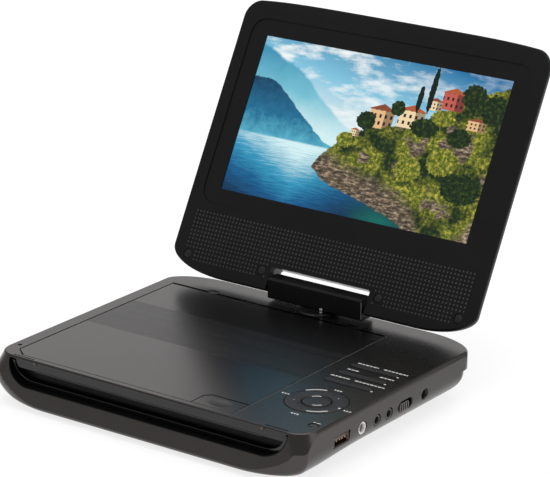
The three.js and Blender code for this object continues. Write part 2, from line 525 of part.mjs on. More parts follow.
PLUGS.forEach(([x, z], i) =>
  piece(screen, `screw_plug_${i + 1}`, rodY(SCREEN.front + 0.1, SCREEN.front + 1, x, z, 2.5), 'rubber'));

// ---------------------------------------------------------------- placing
screen.position.set(0, TILT.y, TILT.z);
screen.rotation.x = -THREE.MathUtils.degToRad(TILT.angle);
base.position.z = BASE_HEIGHT;
group.updateMatrixWorld(true);
const bounds = new THREE.Box3().setFromObject(group, true);
const middle = bounds.getCenter(new THREE.Vector3());
base.position.x = -middle.x;
base.position.y = -middle.y;

export default group;
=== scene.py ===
"""A portable disc player: a wide screen on a swivel and tilt hinge over a flat base with a disc lid.

Every shape is made in millimetres, in one of two frames of its own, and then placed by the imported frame:
BASE has z = 0 at the base's flat top, y = 0 at its back edge and x = 0 on the swivel's axis;
SCREEN has its origin on the tilt axis and stands upright, with the picture facing -Y.
"""
import json
import math

import bmesh
import bpy
from mathutils import Matrix, Vector


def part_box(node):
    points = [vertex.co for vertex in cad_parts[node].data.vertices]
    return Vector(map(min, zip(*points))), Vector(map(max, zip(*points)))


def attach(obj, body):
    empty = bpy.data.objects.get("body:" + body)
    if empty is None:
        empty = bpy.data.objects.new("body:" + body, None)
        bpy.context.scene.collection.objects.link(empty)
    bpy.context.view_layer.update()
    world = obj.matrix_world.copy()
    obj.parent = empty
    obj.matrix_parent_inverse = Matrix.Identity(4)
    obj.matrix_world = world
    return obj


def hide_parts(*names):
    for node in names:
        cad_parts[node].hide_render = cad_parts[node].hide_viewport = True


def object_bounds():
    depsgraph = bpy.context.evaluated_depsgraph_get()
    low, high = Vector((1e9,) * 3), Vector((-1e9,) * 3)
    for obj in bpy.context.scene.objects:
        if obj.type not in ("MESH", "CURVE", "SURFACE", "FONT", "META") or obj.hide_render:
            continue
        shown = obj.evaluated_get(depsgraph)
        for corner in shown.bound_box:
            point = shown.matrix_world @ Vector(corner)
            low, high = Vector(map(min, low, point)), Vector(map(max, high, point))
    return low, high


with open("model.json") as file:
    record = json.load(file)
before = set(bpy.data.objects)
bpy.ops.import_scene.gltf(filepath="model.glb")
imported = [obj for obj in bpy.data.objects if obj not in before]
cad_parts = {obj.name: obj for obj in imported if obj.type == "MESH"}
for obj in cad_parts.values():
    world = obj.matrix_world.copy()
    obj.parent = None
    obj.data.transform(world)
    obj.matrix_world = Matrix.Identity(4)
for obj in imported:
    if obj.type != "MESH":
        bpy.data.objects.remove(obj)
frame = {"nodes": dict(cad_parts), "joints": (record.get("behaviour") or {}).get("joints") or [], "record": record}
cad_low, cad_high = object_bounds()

# ---------------------------------------------------------------- driving dimensions, millimetres
MM = 0.001
LEAN = math.radians(28.5)          # how far the screen leans back at rest
JOINTS = {joint["name"]: joint for joint in frame["joints"]}
SHELL_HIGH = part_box("upper_shell")[1]


def pivot(name):
    return Vector(JOINTS[name]["pos_m"])


BASE = Matrix.Translation((pivot("screen_swivel").x, SHELL_HIGH.y, SHELL_HIGH.z)) @ Matrix.Scale(MM, 4)
SCREEN = Matrix.Translation(pivot("screen_tilt")) @ Matrix.Rotation(-LEAN, 4, "X") @ Matrix.Scale(MM, 4)

HALF_WIDTH = 94.7
PARTING = -9.0
TOP_FRONT = -154.9                 # front edge of the base's top
LIP_FRONT = -160.6
UNDERSIDE = -23.6
BOWL = {"side": 20, "back": 5, "drop": 13.1, "chin": 3}
FLARE = (-100, -142)               # where the underside widens towards the front
PLATE = 2.2                        # thickness of the top wall
INNER_FRONT = -149.3               # the front wall's inner face
SCOOP = {"half": 84.5, "floor": -13.8, "top": -1.0, "rx": 14.0, "rz": 11.8, "back": -151.5}
LID = {"left": -85.4, "right": 49.5, "front": -150.9, "back": -20.9, "chamfer": (6.6, 5.4)}
NOTCH = {"left": 24.8, "back": -137.1, "bevel": 2.8}
OPENING = {"left": -86.1, "right": 50.25, "front": -151.3, "back": -19.1}
LID_PIN = {"y": -17.9, "z": -1.1, "xs": (-60, 28), "width": 5, "back": -16.8}
DISC = {"x": -18, "y": -84, "well": 62.5, "floor": -9.0}
PAD = {"x": 72.5, "y": -114.4, "outer": 15.5, "inner": 7.4, "button": 7.0}
ROCKER = {"x": 72.25, "length": 27.5, "width": 4.0, "ys": (-87, -75.3, -63.9), "top": 0.3}
SENSOR = (88.5, -140, 2.5)
PORT_Z = -10.5
PORTS = {"usb": -125, "av": -107.6, "phones": (-95.2, -84.7), "dc": -52.9}
POWER = {"y": -70.2, "slot": 12.6, "knob": 8.2, "knob_y": -71.9}
BLOCK = {"half": 29.4, "y": -6.6, "depth": 10.8, "bottom": 1.2, "top": 12.7, "shaft": 2.3}
TURRET_Y = -8
FEET = ((-66, -26), (66, -26), (-66, -134), (66, -134))
CASE_SCREWS = ((-50, -12.5), (50, -12.5), (-86, -141), (86, -146))
BATTERY_DOOR = {"left": -62, "right": 40, "front": -118, "back": -34, "seam": 0.6}
SIDE_WALL = (88, 97)               # from inside the right-hand wall to past its outer face
JACK_BACK, JACK_FACE = 81, 94.2    # the sockets' length, in x
PRINT_DEPTH = 0.05                 # height of a printed mark

FACE = -5.1                        # the screen's front face, y in the screen's frame
SCREEN_HALF, SCREEN_BOTTOM, SCREEN_TOP, CROWN = 95.2, -3.4, 148.3, 2.6
BEZEL, THICK = 3.5, 10.7
LCD = {"half": 77.05, "bottom": 44.0, "height": 86.8}
CUTOUT = {"half": 31.0, "top": 9.7}
PLUGS = ((-85, 6), (85, 6), (-36.7, 6.5), (36.7, 6.5))
GRILLE = {"pitch": 2.2, "columns": 80, "low": 3.6, "rows": 13, "hole": 1.05}

VIEW = {"azimuth": 35.16, "elevation": 18.26, "roll": 0.76, "eye": (757.1, -1122.6, 483.3), "lens": 180.06}
LIGHTS = (("overhead", (0.1, 0.1, 2.2), (0, 0, 0), 2.4, 2.4, 30),       # place and aim in metres, size, watts
          ("backdrop", (-0.9, 2.2, 0.9), (0, 0, 0.1), 3.2, 1.7, 11.5),
          ("right_side", (2.2, 0.5, 0.8), (0, 0, 0), 1.6, 1.6, 8))


# ---------------------------------------------------------------- mesh helpers
def mesh_of(bm):
    bmesh.ops.recalc_face_normals(bm, faces=bm.faces)
    mesh = bpy.data.meshes.new("shape")
    bm.to_mesh(mesh)
    bm.free()
    return mesh


def merged(*meshes):
    """Several meshes as one, without cutting them."""
    bm = bmesh.new()
    for mesh in meshes:
        bm.from_mesh(mesh)
        bpy.data.meshes.remove(mesh)
    return mesh_of(bm)


def skin(rings, closed=True):
    """A surface through rings of one point count, capped at both ends."""
    bm = bmesh.new()
    rows = [[bm.verts.new(point) for point in ring] for ring in rings]
    count = len(rows[0])
    for low, high in zip(rows, rows[1:]):
        for i in range(count):
            j = (i + 1) % count
            bm.faces.new((low[i], low[j], high[j], high[i]))
    if closed:
        bm.faces.new(rows[0][::-1])
        bm.faces.new(rows[-1])
    return mesh_of(bm)


def prism(points, z0, z1):
    return skin([[(x, y, z) for x, y in points] for z in (z0, z1)])


def upright(points, y0, y1):
    """An outline in x and z, given depth along y."""
    return skin([[(x, y, z) for x, z in points] for y in (y0, y1)])


def sideways(points, x0, x1):
    """An outline in y and z, given length along x."""
    return skin([[(x, y, z) for y, z in points] for x in (x0, x1)])


def block(x0, x1, y0, y1, z0, z1):
    return prism([(x0, y0), (x1, y0), (x1, y1), (x0, y1)], z0, z1)


def arc(x, y, rx, ry, start, end, steps):
    angles = [math.radians(start + (end - start) * i / steps) for i in range(steps + 1)]
    return [(x + rx * math.cos(a), y + ry * math.sin(a)) for a in angles]


def rounded(x0, x1, y0, y1, r, steps=8):
    corners = ((x1 - r, y1 - r, 0), (x0 + r, y1 - r, 90), (x0 + r, y0 + r, 180), (x1 - r, y0 + r, 270))
    return [point for x, y, a in corners for point in arc(x, y, r, r, a, a + 90, steps)]


def turned(profile, sides=72):
    """A profile of (radius, height) turned about Z; it starts and ends on the axis or closes on itself."""
    bm = bmesh.new()
    rows = []
    for radius, height in profile:
        if radius < 1e-6:
            rows.append([bm.verts.new((0, 0, height))])
        else:
            circle = arc(0, 0, radius, radius, 0, 360, sides)[:-1]
            rows.append([bm.verts.new((x, y, height)) for x, y in circle])
    for low, high in zip(rows, rows[1:]):
        for i in range(sides):
            j = (i + 1) % sides
            loop = [low[i % len(low)], low[j % len(low)], high[j % len(high)], high[i % len(high)]]
            corners = list(dict.fromkeys(loop))
            if len(corners) > 2:
                bm.faces.new(corners)
    bmesh.ops.remove_doubles(bm, verts=bm.verts, dist=1e-5)
    return mesh_of(bm)


def moved(mesh, x=0.0, y=0.0, z=0.0, about=None, angle=0.0):
    turn = Matrix.Rotation(math.radians(angle), 4, about) if about else Matrix.Identity(4)
    mesh.transform(Matrix.Translation((x, y, z)) @ turn)
    return mesh


def facing_right(profile, y, z, sides=48):
    """A turned profile whose axis points along +X; heights in the profile are x."""
    return moved(turned(profile, sides), 0, y, z, "Y", 90)


def facing_front(profile, x, z, sides=48):
    """A turned profile whose axis points along -Y; heights in the profile are -y."""
    return moved(turned(profile, sides), x, 0, z, "X", 90)


def rod(radius, start, end):
    return [(0, start), (radius, start), (radius, end), (0, end)]


def outline(plan, steps=16):
    """A rounded rectangle; its back and front corners have their own two radii.

    front_w is the half width near the front, and crown is how far the back edge bows out at its middle.
    """
    w, back, front = plan["w"], plan["back"], plan["front"]
    (bx, by), (fx, fy) = plan["back_r"], plan["front_r"]
    widen, crown = plan.get("front_w", w) / w - 1, plan.get("crown", 0)
    edge = [((w - bx) * (1 - 2 * i / 24), back) for i in range(1, 24)] if crown else []
    side = [(w, FLARE[1] + (FLARE[0] - FLARE[1]) * i / 12) for i in range(13)] if widen else []
    points = (arc(w - bx, back - by, bx, by, 0, 90, steps)
              + edge
              + arc(-w + bx, back - by, bx, by, 90, 180, steps)
              + [(-x, y) for x, y in side[::-1]]
              + arc(-w + fx, front + fy, fx, fy, 180, 270, steps)
              + arc(w - fx, front + fy, fx, fy, 270, 360, steps)
              + side)
    made = []
    for x, y in points:
        along = min(1, max(0, (y - FLARE[0]) / (FLARE[1] - FLARE[0])))
        bow = crown * (1 - abs(x / w) ** 5) if y > (back + front) / 2 else 0
        made.append((x * (1 + widen * along * along * (3 - 2 * along)), y + bow))
    return made


def loft(levels):
    return skin([[(x, y, z) for x, y in outline(plan)] for z, plan in levels])


def boolean(mesh, tool, operation):
    whole = bpy.data.objects.new("whole", mesh)
    cutter = bpy.data.objects.new("cutter", tool)
    for obj in (whole, cutter):
        bpy.context.scene.collection.objects.link(obj)
    modifier = whole.modifiers.new("boolean", "BOOLEAN")
    modifier.operation = operation
    modifier.solver = "EXACT"
    modifier.object = cutter
    graph = bpy.context.evaluated_depsgraph_get()
    result = bpy.data.meshes.new_from_object(whole.evaluated_get(graph))
    bpy.data.objects.remove(whole)
    bpy.data.objects.remove(cutter)
    bpy.data.meshes.remove(mesh)
    bpy.data.meshes.remove(tool)
    return result


def cut(mesh, *tools):
    for tool in tools:
        mesh = boolean(mesh, tool, "DIFFERENCE")
    return mesh


def join(mesh, *others):
    for other in others:
        mesh = boolean(mesh, other, "UNION")
    return mesh


def common(mesh, other):
    return boolean(mesh, other, "INTERSECT")


def piece(name, mesh, body, material, place=BASE, stands_for=(), bevel=0.0, sharp=32, segments=2,
          crisp=None):
    """A shape in one of the two frames becomes a piece that rides on a body.

    Edges at z = crisp aren't bevelled, so that two halves meet along a plain line.
    """
    if bevel:
        bm = bmesh.new()
        bm.from_mesh(mesh)
        weight = bm.edges.layers.float.new("bevel_weight_edge")
        for edge in bm.edges:
            level = crisp is not None and all(abs(vert.co.z - crisp) < 0.3 for vert in edge.verts)
            wide = edge.is_manifold and edge.calc_face_angle() > math.radians(sharp)
            edge[weight] = 1.0 if wide and not level else 0.0
        bm.to_mesh(mesh)
        bm.free()
    mesh.transform(place)
    mesh.name = name
    mesh.materials.clear()
    mesh.materials.append(material)
    mesh.shade_smooth()
    obj = bpy.data.objects.new(name, mesh)
    bpy.context.scene.collection.objects.link(obj)
    if bevel:
        edge = obj.modifiers.new("edges", "BEVEL")
        edge.width = bevel * MM
        edge.segments = segments
        edge.limit_method = "WEIGHT"
        edge.use_clamp_overlap = True
        edge.harden_normals = False
    mesh.set_sharp_from_angle(angle=math.radians(sharp))
    if bevel:
        normals = obj.modifiers.new("normals", "WEIGHTED_NORMAL")
        normals.keep_sharp = True
    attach(obj, body)
    if stands_for:
        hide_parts(*stands_for)
    return obj


# ---------------------------------------------------------------- materials
def colour(r, g, b):
    """A display colour, 0 to 255, as the linear values that a shader takes."""
    return tuple(((c / 255 + 0.055) / 1.055) ** 2.4 if c > 10 else c / 3295 for c in (r, g, b)) + (1.0,)


class Nodes:
    """A material's node tree, built up by short calls. Places are in metres, as the piece is at rest."""

    def __init__(self, name, base, roughness, metallic=0.0, specular=0.5):
        self.material = bpy.data.materials.new(name)
        self.material.use_nodes = True
        self.tree = self.material.node_tree
        self.shader = self.tree.nodes["Principled BSDF"]
        self.set("Base Color", base)
        self.set("Roughness", roughness)
        self.set("Metallic", metallic)
        self.set("Specular IOR Level", specular)
        self.place = self.tree.nodes.new("ShaderNodeTexCoord").outputs["Object"]

    def set(self, name, value):
        self.shader.inputs[name].default_value = value

    def node(self, kind, inputs=(), **settings):
        made = self.tree.nodes.new("ShaderNode" + kind)
        for key, value in settings.items():
            setattr(made, key, value)
        for key, value in dict(inputs).items():
            if isinstance(value, bpy.types.NodeSocket):
                self.tree.links.new(value, made.inputs[key])
            else:
                made.inputs[key].default_value = value
        return made

    def math(self, operation, *values, clamp=False):
        return self.node("Math", dict(enumerate(values)), operation=operation, use_clamp=clamp).outputs[0]

    def mix(self, factor, first, second):
        made = self.node("Mix", {0: factor, 6: first, 7: second}, data_type="RGBA")
        return made.outputs[2]

    def stretched(self, x, y, z, source=None):
        return self.node("Mapping", {"Vector": source or self.place, "Scale": (x, y, z)}).outputs[0]

    def noise(self, scale, detail=2.0, vector=None, roughness=0.5):
        return self.node("TexNoise", {"Vector": vector or self.place, "Scale": scale, "Detail": detail,
                                      "Roughness": roughness}).outputs["Fac"]

    def between(self, value, low, high, new_low, new_high):
        made = self.node("MapRange", {"Value": value, "From Min": low, "From Max": high, "To Min": new_low,
                                      "To Max": new_high})
        return made.outputs[0]

    def axis(self, name, source=None):
        return self.node("SeparateXYZ", {0: source or self.place}).outputs[name]

    def link(self, socket, name):
        self.tree.links.new(socket, self.shader.inputs[name])

    def bump(self, height, strength, distance=0.0001):
        made = self.node("Bump", {"Height": height, "Strength": strength, "Distance": distance})
        self.link(made.outputs[0], "Normal")

    def vary(self, dark, light, scale, detail=3.0, vector=None):
        tone = self.between(self.noise(scale, detail, vector), 0.3, 0.7, 0.0, 1.0)
        self.link(self.mix(tone, dark, light), "Base Color")

    def roughen(self, low, high, scale, vector=None):
        self.link(self.between(self.noise(scale, 4.0, vector), 0.3, 0.7, low, high), "Roughness")


def shade(base, factor):
    return tuple(c * factor for c in base[:3]) + (1.0,)


def moulded(name, base, roughness, metallic=0.0, specular=0.5, grain=900, depth=0.12, spread=0.12):
    """Moulded plastic or lacquer: faint mottling, uneven gloss and a fine grain."""
    made = Nodes(name, base, roughness, metallic, specular)
    made.vary(shade(base, 1 - spread), shade(base, 1 + spread), 45)
    made.roughen(roughness * 0.94, roughness * 1.06, 120)
    made.bump(made.noise(grain, 3.0), depth)
    return made


def casing_paint():
    made = moulded("casing", colour(77, 74, 73), 0.28, 1.0, 0.5, 1500, 0.02, 0.03)
    return made.material


def lid_paint():
    """The casing's lacquer with a darker brushed band across it."""
    made = Nodes("lid_sheen", colour(77, 74, 73), 0.27, 1.0)
    across = made.axis("Y")
    low, high = (BASE @ Vector((0, y, 0)) for y in (-93.5, -54))
    inside = made.math("MULTIPLY", made.math("GREATER_THAN", across, low.y),
                       made.math("LESS_THAN", across, high.y))
    lines = made.noise(1.0, 3.0, made.stretched(9, 1900, 9), 0.7)
    streaks = made.between(lines, 0.35, 0.65, 0.0, 1.0)
    plain = made.mix(made.noise(45), colour(75, 72, 71), colour(79, 76, 75))
    brushed = made.mix(streaks, colour(56, 54, 54), colour(74, 71, 70))
    made.link(made.mix(inside, plain, brushed), "Base Color")
    rough = made.math("ADD", made.math("MULTIPLY", inside, made.math("MULTIPLY", streaks, 0.14)), 0.26)
    made.link(rough, "Roughness")
    ridges = made.math("MULTIPLY", made.math("MULTIPLY", lines, inside), 2.0)
    made.bump(made.math("ADD", ridges, made.math("MULTIPLY", made.noise(1500), 0.2)), 0.12)
    return made.material


def gloss():
    made = Nodes("gloss_black", colour(9, 9, 10), 0.06, 0.0, 0.5)
    made.roughen(0.04, 0.1, 60)
    made.bump(made.noise(25, 1.0), 0.03)
    return made.material


def rubber():
    made = moulded("rubber", colour(24, 24, 24), 0.85, 0.0, 0.3, 2200, 0.35, 0.2)
    return made.material


def steel(name="steel", base=colour(196, 196, 198), roughness=0.22):
    made = Nodes(name, base, roughness, 1.0)
    scratches = made.noise(1.0, 2.0, made.stretched(2500, 120, 120))
    made.link(made.between(scratches, 0.3, 0.7, roughness * 0.7, roughness * 1.5), "Roughness")
    made.vary(shade(base, 0.9), base, 60)
    made.bump(scratches, 0.05)
    return made.material


def circuit_board():
    made = Nodes("circuit_board", colour(28, 92, 55), 0.42)
    tracks = made.node("TexBrick", {"Vector": made.place, "Scale": 300.0, "Mortar Size": 0.03,
                                    "Color1": colour(24, 84, 50), "Color2": colour(30, 98, 58),
                                    "Mortar": colour(70, 140, 90)}).outputs[0]
    made.link(tracks, "Base Color")
    made.bump(made.noise(900), 0.15)
    return made.material


def printed():
    made = Nodes("pale_print", colour(225, 225, 222), 0.6)
    made.vary(colour(205, 205, 203), colour(238, 238, 235), 1800)
    return made.material


def cell_wrap():
    made = moulded("cell", colour(72, 84, 98), 0.35, 0.0, 0.5, 300, 0.3, 0.15)
    return made.material


def coated_lens():
    made = Nodes("lens", colour(60, 40, 90), 0.04, 0.0, 0.9)
    made.vary(colour(40, 30, 90), colour(90, 40, 80), 300)
    return made.material


CASING = casing_paint()
LID_SHEEN = lid_paint()
GLOSS = gloss()
BEZEL_BLACK = moulded("bezel_black", colour(17, 16, 17), 0.45, 0.0, 0.25, 1900, 0.3, 0.12).material
BLOCK_BLACK = moulded("panel_black", colour(15, 14, 15), 0.35, 0.0, 0.3, 1500, 0.1, 0.1).material
KEY_BLACK = moulded("key_black", colour(44, 43, 45), 0.4, 0.0, 0.3, 1500, 0.15, 0.08).material
DECK_BLACK = moulded("deck_black", colour(24, 24, 26), 0.5, 0.0, 0.4, 1200, 0.35, 0.15).material
RUBBER = rubber()
PLUG = moulded("plug_rubber", colour(27, 26, 28), 0.5, 0.0, 0.4, 2200, 0.2, 0.1).material
STEEL = steel()
BOARD = circuit_board()
PRINT = printed()
CELL = cell_wrap()
LENS = coated_lens()
BRASS = steel("contact_brass", colour(176, 142, 112), 0.3)
TONGUE = moulded("tongue_plastic", colour(88, 68, 54), 0.45).material
USB_STEEL = steel("usb_steel", colour(88, 84, 80), 0.5)
SOCKET_BLACK = moulded("socket_black", colour(16, 16, 17), 0.4, 0.0, 0.5, 1500, 0.1, 0.1).material
PALE_RING = moulded("pale_ring", colour(225, 222, 218), 0.3, 0.2, 0.5, 1200, 0.08, 0.04).material
KNOB = moulded("knob_grey", colour(96, 92, 91), 0.35, 1.0, 0.4, 1500, 0.15, 0.08).material
POCKET_BLACK = moulded("pocket_black", colour(8, 8, 9), 0.35, 0.0, 0.12, 900, 0.1, 0.2).material
# Painted highlight: a pale grey whose thin strips stand in for the bright lines that light draws along edges.
PAINTED_EDGE_HIGHLIGHT = moulded("painted_edge_highlight", colour(150, 148, 146), 0.4, 0.6, 0.5, 900, 0.1, 0.1).material
# Painted highlight: a mid grey for the floors of the grille holes, standing in for the hole rims that catch the
# light.
GRILLE_FLOOR_HIGHLIGHT = moulded("grille_floor_highlight_grey", colour(82, 81, 83), 0.55, 0.0, 0.3, 2500, 0.4, 0.1).material

SLOTS = {"casing": CASING, "lid_sheen": LID_SHEEN, "gloss_black": GLOSS, "panel_black": BLOCK_BLACK,
         "bezel_black": BEZEL_BLACK, "key_black": KEY_BLACK, "rubber": RUBBER, "steel": STEEL,
         "circuit_board": BOARD, "deck_black": DECK_BLACK, "cell": CELL, "lens": LENS}


# ---------------------------------------------------------------- base: the two casing halves
CORNERS = {"w": HALF_WIDTH, "back": 0.0, "front": LIP_FRONT, "back_r": (30, 16), "front_r": (30, 8)}


def grown(plan, inset, front_share=1.0):
    made = dict(plan)
    made["w"] -= inset
    made["back"] -= inset
    made["front"] += inset * front_share
    return made


def leaning_front():
    """The front face leans forward towards the ground and meets the corners in a U-shaped crease."""
    plan = {"w": HALF_WIDTH - 0.6, "back": 10, "front": TOP_FRONT, "back_r": (6, 6), "front_r": (11, 11)}
    levels = [(-30, {**plan, "w": 108, "front": -162.9})]
    radius = 1.0
    for a in range(0, 91, 15):
        turn = math.radians(a)
        levels.append((-radius + radius * math.sin(turn), grown(plan, radius * (1 - math.cos(turn)))))
    levels.append((2, levels[-1][1]))
    return loft(levels)


def scoop(margin=0.0):
    half, rx, rz = SCOOP["half"] + margin, SCOOP["rx"] + margin, SCOOP["rz"] + margin
    floor, top = SCOOP["floor"] - margin, SCOOP["top"] - margin * 0.4
    return ([(half, top), (-half, top)] + arc(-half + rx, floor + rz, rx, rz, 180, 270, 16)
            + arc(half - rx, floor + rz, rx, rz, 270, 360, 16))


def port_holes():
    usb = block(*SIDE_WALL, PORTS["usb"] - 6.6, PORTS["usb"] + 6.6, PORT_Z - 3.1, PORT_Z + 3.1)
    half = POWER["slot"] / 2
    slot = sideways(rounded(POWER["y"] - half, POWER["y"] + half, PORT_Z - 3, PORT_Z + 3, 2.95),
                    *SIDE_WALL)
    bores = [(PORTS["av"], 3.5), (PORTS["phones"][0], 3.2), (PORTS["phones"][1], 3.2), (PORTS["dc"], 3.0)]
    return merged(usb, slot, *[facing_right(rod(r, *SIDE_WALL), y, PORT_Z) for y, r in bores])


def rocker_outline(y, margin=0.0):
    half, thick = ROCKER["length"] / 2 + margin, ROCKER["width"] / 2 + margin
    return rounded(ROCKER["x"] - half, ROCKER["x"] + half, y - thick, y + thick, thick - 0.01)


def casing_top():
    radius = 1.2
    levels = [(PARTING - 0.2, CORNERS)]
    for a in range(0, 91, 15):
        turn = math.radians(a)
        levels.append((-radius + radius * math.sin(turn), grown(CORNERS, radius * (1 - math.cos(turn)))))
    shell = common(loft(levels), leaning_front())
    inner = {"w": 92.7, "back": -2, "front": INNER_FRONT, "back_r": (30, 16), "front_r": (12, 9)}
    window = prism([(OPENING["left"], OPENING["back"]),
                    (OPENING["left"], LID["front"] + LID["chamfer"][1]),
                    (OPENING["left"] + LID["chamfer"][0], OPENING["front"]),
                    (OPENING["right"], OPENING["front"]),
                    (OPENING["right"], OPENING["back"])], -PLATE - 1, 1)
    keys = merged(moved(turned(rod(PAD["outer"] + 0.35, -3, 1), 96), PAD["x"], PAD["y"]),
                  moved(turned(rod(SENSOR[2] + 0.25, -3, 1)), *SENSOR[:2]),
                  *[prism(rocker_outline(y, 0.35), -3, 1) for y in ROCKER["ys"]])
    tabs = merged(*[block(x - 2.9, x + 2.9, OPENING["back"] - 1, LID_PIN["back"] + 0.6, -3.2, 1)
                    for x in LID_PIN["xs"]])
    swivel = moved(turned(rod(4.8, -3, 1)), 0, TURRET_Y)
    dimple = moved(turned(rod(1.1, -0.5, 1), 32), -89.5, -141)
    grooves = merged(*[block(x0, x1, -153.4, -152.7, -0.6, 1) for x0, x1 in ((-83.6, -70), (70, 83.6))])
    shell = cut(shell, loft([(-10, inner), (-PLATE, inner)]), window, upright(scoop(), -170, SCOOP["back"]),
                upright(scoop(2), -151.6, -145), port_holes(), keys, tabs, swivel, dimple, grooves)
    piece("casing_top", shell, "base", CASING, stands_for=["upper_shell"], bevel=0.22,
          crisp=PARTING - 0.2)


def bowl_plan(turn, chin):
    """The lower shell's outline: its sides and back curve in, and the chin at the front stays full."""
    return {"w": 94.5 - BOWL["side"] * turn, "front_w": 94.49 - 0.7 * BOWL["side"] * turn,
            "back": -2.4 - BOWL["back"] * turn, "front": LIP_FRONT + BOWL["chin"] * chin,
            "back_r": (30, 17), "front_r": (30 - 8 * turn, 8 + 7 * turn)}


def casing_bottom():
    levels = [(PARTING - 0.24, bowl_plan(0, 0))]
    for a in range(0, 91, 5):
        z = UNDERSIDE + BOWL["drop"] * (1 - math.sin(math.radians(a)))
        depth = max(0, 1 - (z - UNDERSIDE) / BOWL["chin"])
        levels.append((z, bowl_plan(1 - math.cos(math.radians(a)), 1 - math.sqrt(1 - depth * depth))))
    shell = common(loft(levels[::-1]), leaning_front())
    corners = {"back_r": (26, 14), "front_r": (12, 9)}
    bowl = loft([(UNDERSIDE + 2.2, {"w": 79, "back": -13, "front": -147, **corners}),
                 (-18, {"w": 87.6, "back": -7.5, "front": INNER_FRONT, **corners}),
                 (-14, {"w": 91.2, "back": -5.5, "front": INNER_FRONT, **corners}),
                 (-8, {"w": 92.3, "back": -4.8, "front": INNER_FRONT, **corners})])
    feet = merged(*[moved(turned(rod(6.3, UNDERSIDE - 1, UNDERSIDE + 0.6)), x, y) for x, y in FEET])
    heads = merged(*[moved(turned(rod(2.9, UNDERSIDE - 4, -20.1), 32), x, y) for x, y in CASE_SCREWS])
    vents = merged(*[prism(rounded(-40 + 5 * i, -37.6 + 5 * i, -150, -124, 1.1), UNDERSIDE - 1, -20.8)
                     for i in range(17)])
    door = BATTERY_DOOR
    line, deep = door["seam"], (UNDERSIDE - 1, UNDERSIDE + 0.5)
    left, right, front, back = door["left"], door["right"], door["front"], door["back"]
    seam = merged(block(left, right, front, front + line, *deep),
                  block(left, left + line, front + line + 0.1, back - 0.1, *deep),
                  block(right - line, right, front + line + 0.1, back - 0.1, *deep),
                  block(left, right, back, back + line, *deep))
    shell = cut(shell, bowl, upright(scoop(), -170, SCOOP["back"]),
                upright(scoop(2), -151.6, -145), port_holes(), feet, heads, vents, seam)
    piece("casing_bottom", shell, "base", CASING, stands_for=["lower_shell"], bevel=0.22,
          crisp=PARTING - 0.24)


def front_strip():
    """The dark back and lining of the scoop, and the glossy band under the top's front edge."""
    half = 69
    back = cut(upright(scoop(1.6), -151.2, -149.6), block(-90, 90, -152, -149, -3.0, 0))
    piece("scoop_back", back, "base", POCKET_BLACK, stands_for=["front_fascia"], bevel=0.25)
    band = common(block(-84, 84, -153.4, -151.25, -6.2, -1.3), upright(scoop(-0.7), -154, -151))
    piece("front_band", band, "base", GLOSS, bevel=0.3)
    lining = common(cut(upright(scoop(-0.06), -165, -151.25), upright(scoop(-0.5), -166, -150),
                        block(-90, 90, -166, -150, -1.6, 0),
                        block(-84, 84, -153.5, -150, -6.3, 0)), leaning_front())
    piece("scoop_lining", lining, "base", POCKET_BLACK, bevel=0.12)
    bead = cut(upright(scoop(-0.55), -154.2, -153.45), upright(scoop(-2.6), -155, -152),
               block(-90, 90, -156, -150, -2.2, 0))
    piece("scoop_bead", bead, "base", GLOSS, bevel=0.3)
    # Painted highlight: a thin pale grey strip along the glossy band's lower edge, standing in for that edge's
    # bright line.
    edge = block(-half, half, -153.75, -153.45, -6.1, -5.7)
    piece("band_edge_painted_highlight", edge, "base", KNOB, bevel=0.12)
    pegs = merged(*[prism(rounded(side * half - 0.8, side * half + 0.8, -154.6, -153.2, 0.5),
                          -2.2, -1.05) for side in (-1, 1)])
    piece("scoop_hooks", pegs, "base", KNOB, bevel=0.12)
    # Painted highlight: a thin pale strip along the right edge of the lid's opening, where that edge catches the
    # light.
    line = block(50.0, 50.22, OPENING["front"] + 0.5, OPENING["back"] - 0.5, -0.5, 0.02)
    piece("opening_edge_painted_highlight", line, "base", PAINTED_EDGE_HIGHLIGHT, bevel=0.06)


# ---------------------------------------------------------------- base: disc lid, its key and the disc bay
def disc_lid():
    left, right, front, back = LID["left"], LID["right"], LID["front"], LID["back"]
    plate = prism([(left, back), (left, front + LID["chamfer"][1]), (left + LID["chamfer"][0], front),
                   (NOTCH["left"], front), (NOTCH["left"], NOTCH["back"] - NOTCH["bevel"]),
                   (NOTCH["left"] + NOTCH["bevel"], NOTCH["back"]), (right, NOTCH["back"]),
                   (right, back)], -2.1, 0)
    ring = turned([(56, -3.4), (57.2, -3.4), (57.2, -2), (56, -2), (56, -3.4)], 96)
    ribs = [moved(block(15, 56.5, -0.5, 0.5, -2.9, -2.0), 0, 0, 0, "Z", a) for a in range(0, 360, 60)]
    hub = turned([(13, -3.1), (15.5, -3.1), (15.5, -2), (13, -2), (13, -3.1)])
    under = [moved(shape, DISC["x"], DISC["y"]) for shape in (ring, hub, *ribs)]
    tabs = [block(x - 2.5, x + 2.5, back - 1, LID_PIN["back"], -1.9, -0.2) for x in LID_PIN["xs"]]
    catch = [block(34, 40, -136.6, -135.2, -6.2, -2), block(34, 40, -137.8, -136.5, -6.2, -5.2)]
    bores = merged(*[facing_right(rod(0.65, x - 5, x + 5), LID_PIN["y"], LID_PIN["z"], 24)
                     for x in LID_PIN["xs"]])
    piece("lid_panel", cut(join(plate, *tabs, *catch, *under), bores), "lid", LID_SHEEN,
          stands_for=["disc_lid"], bevel=0.28)


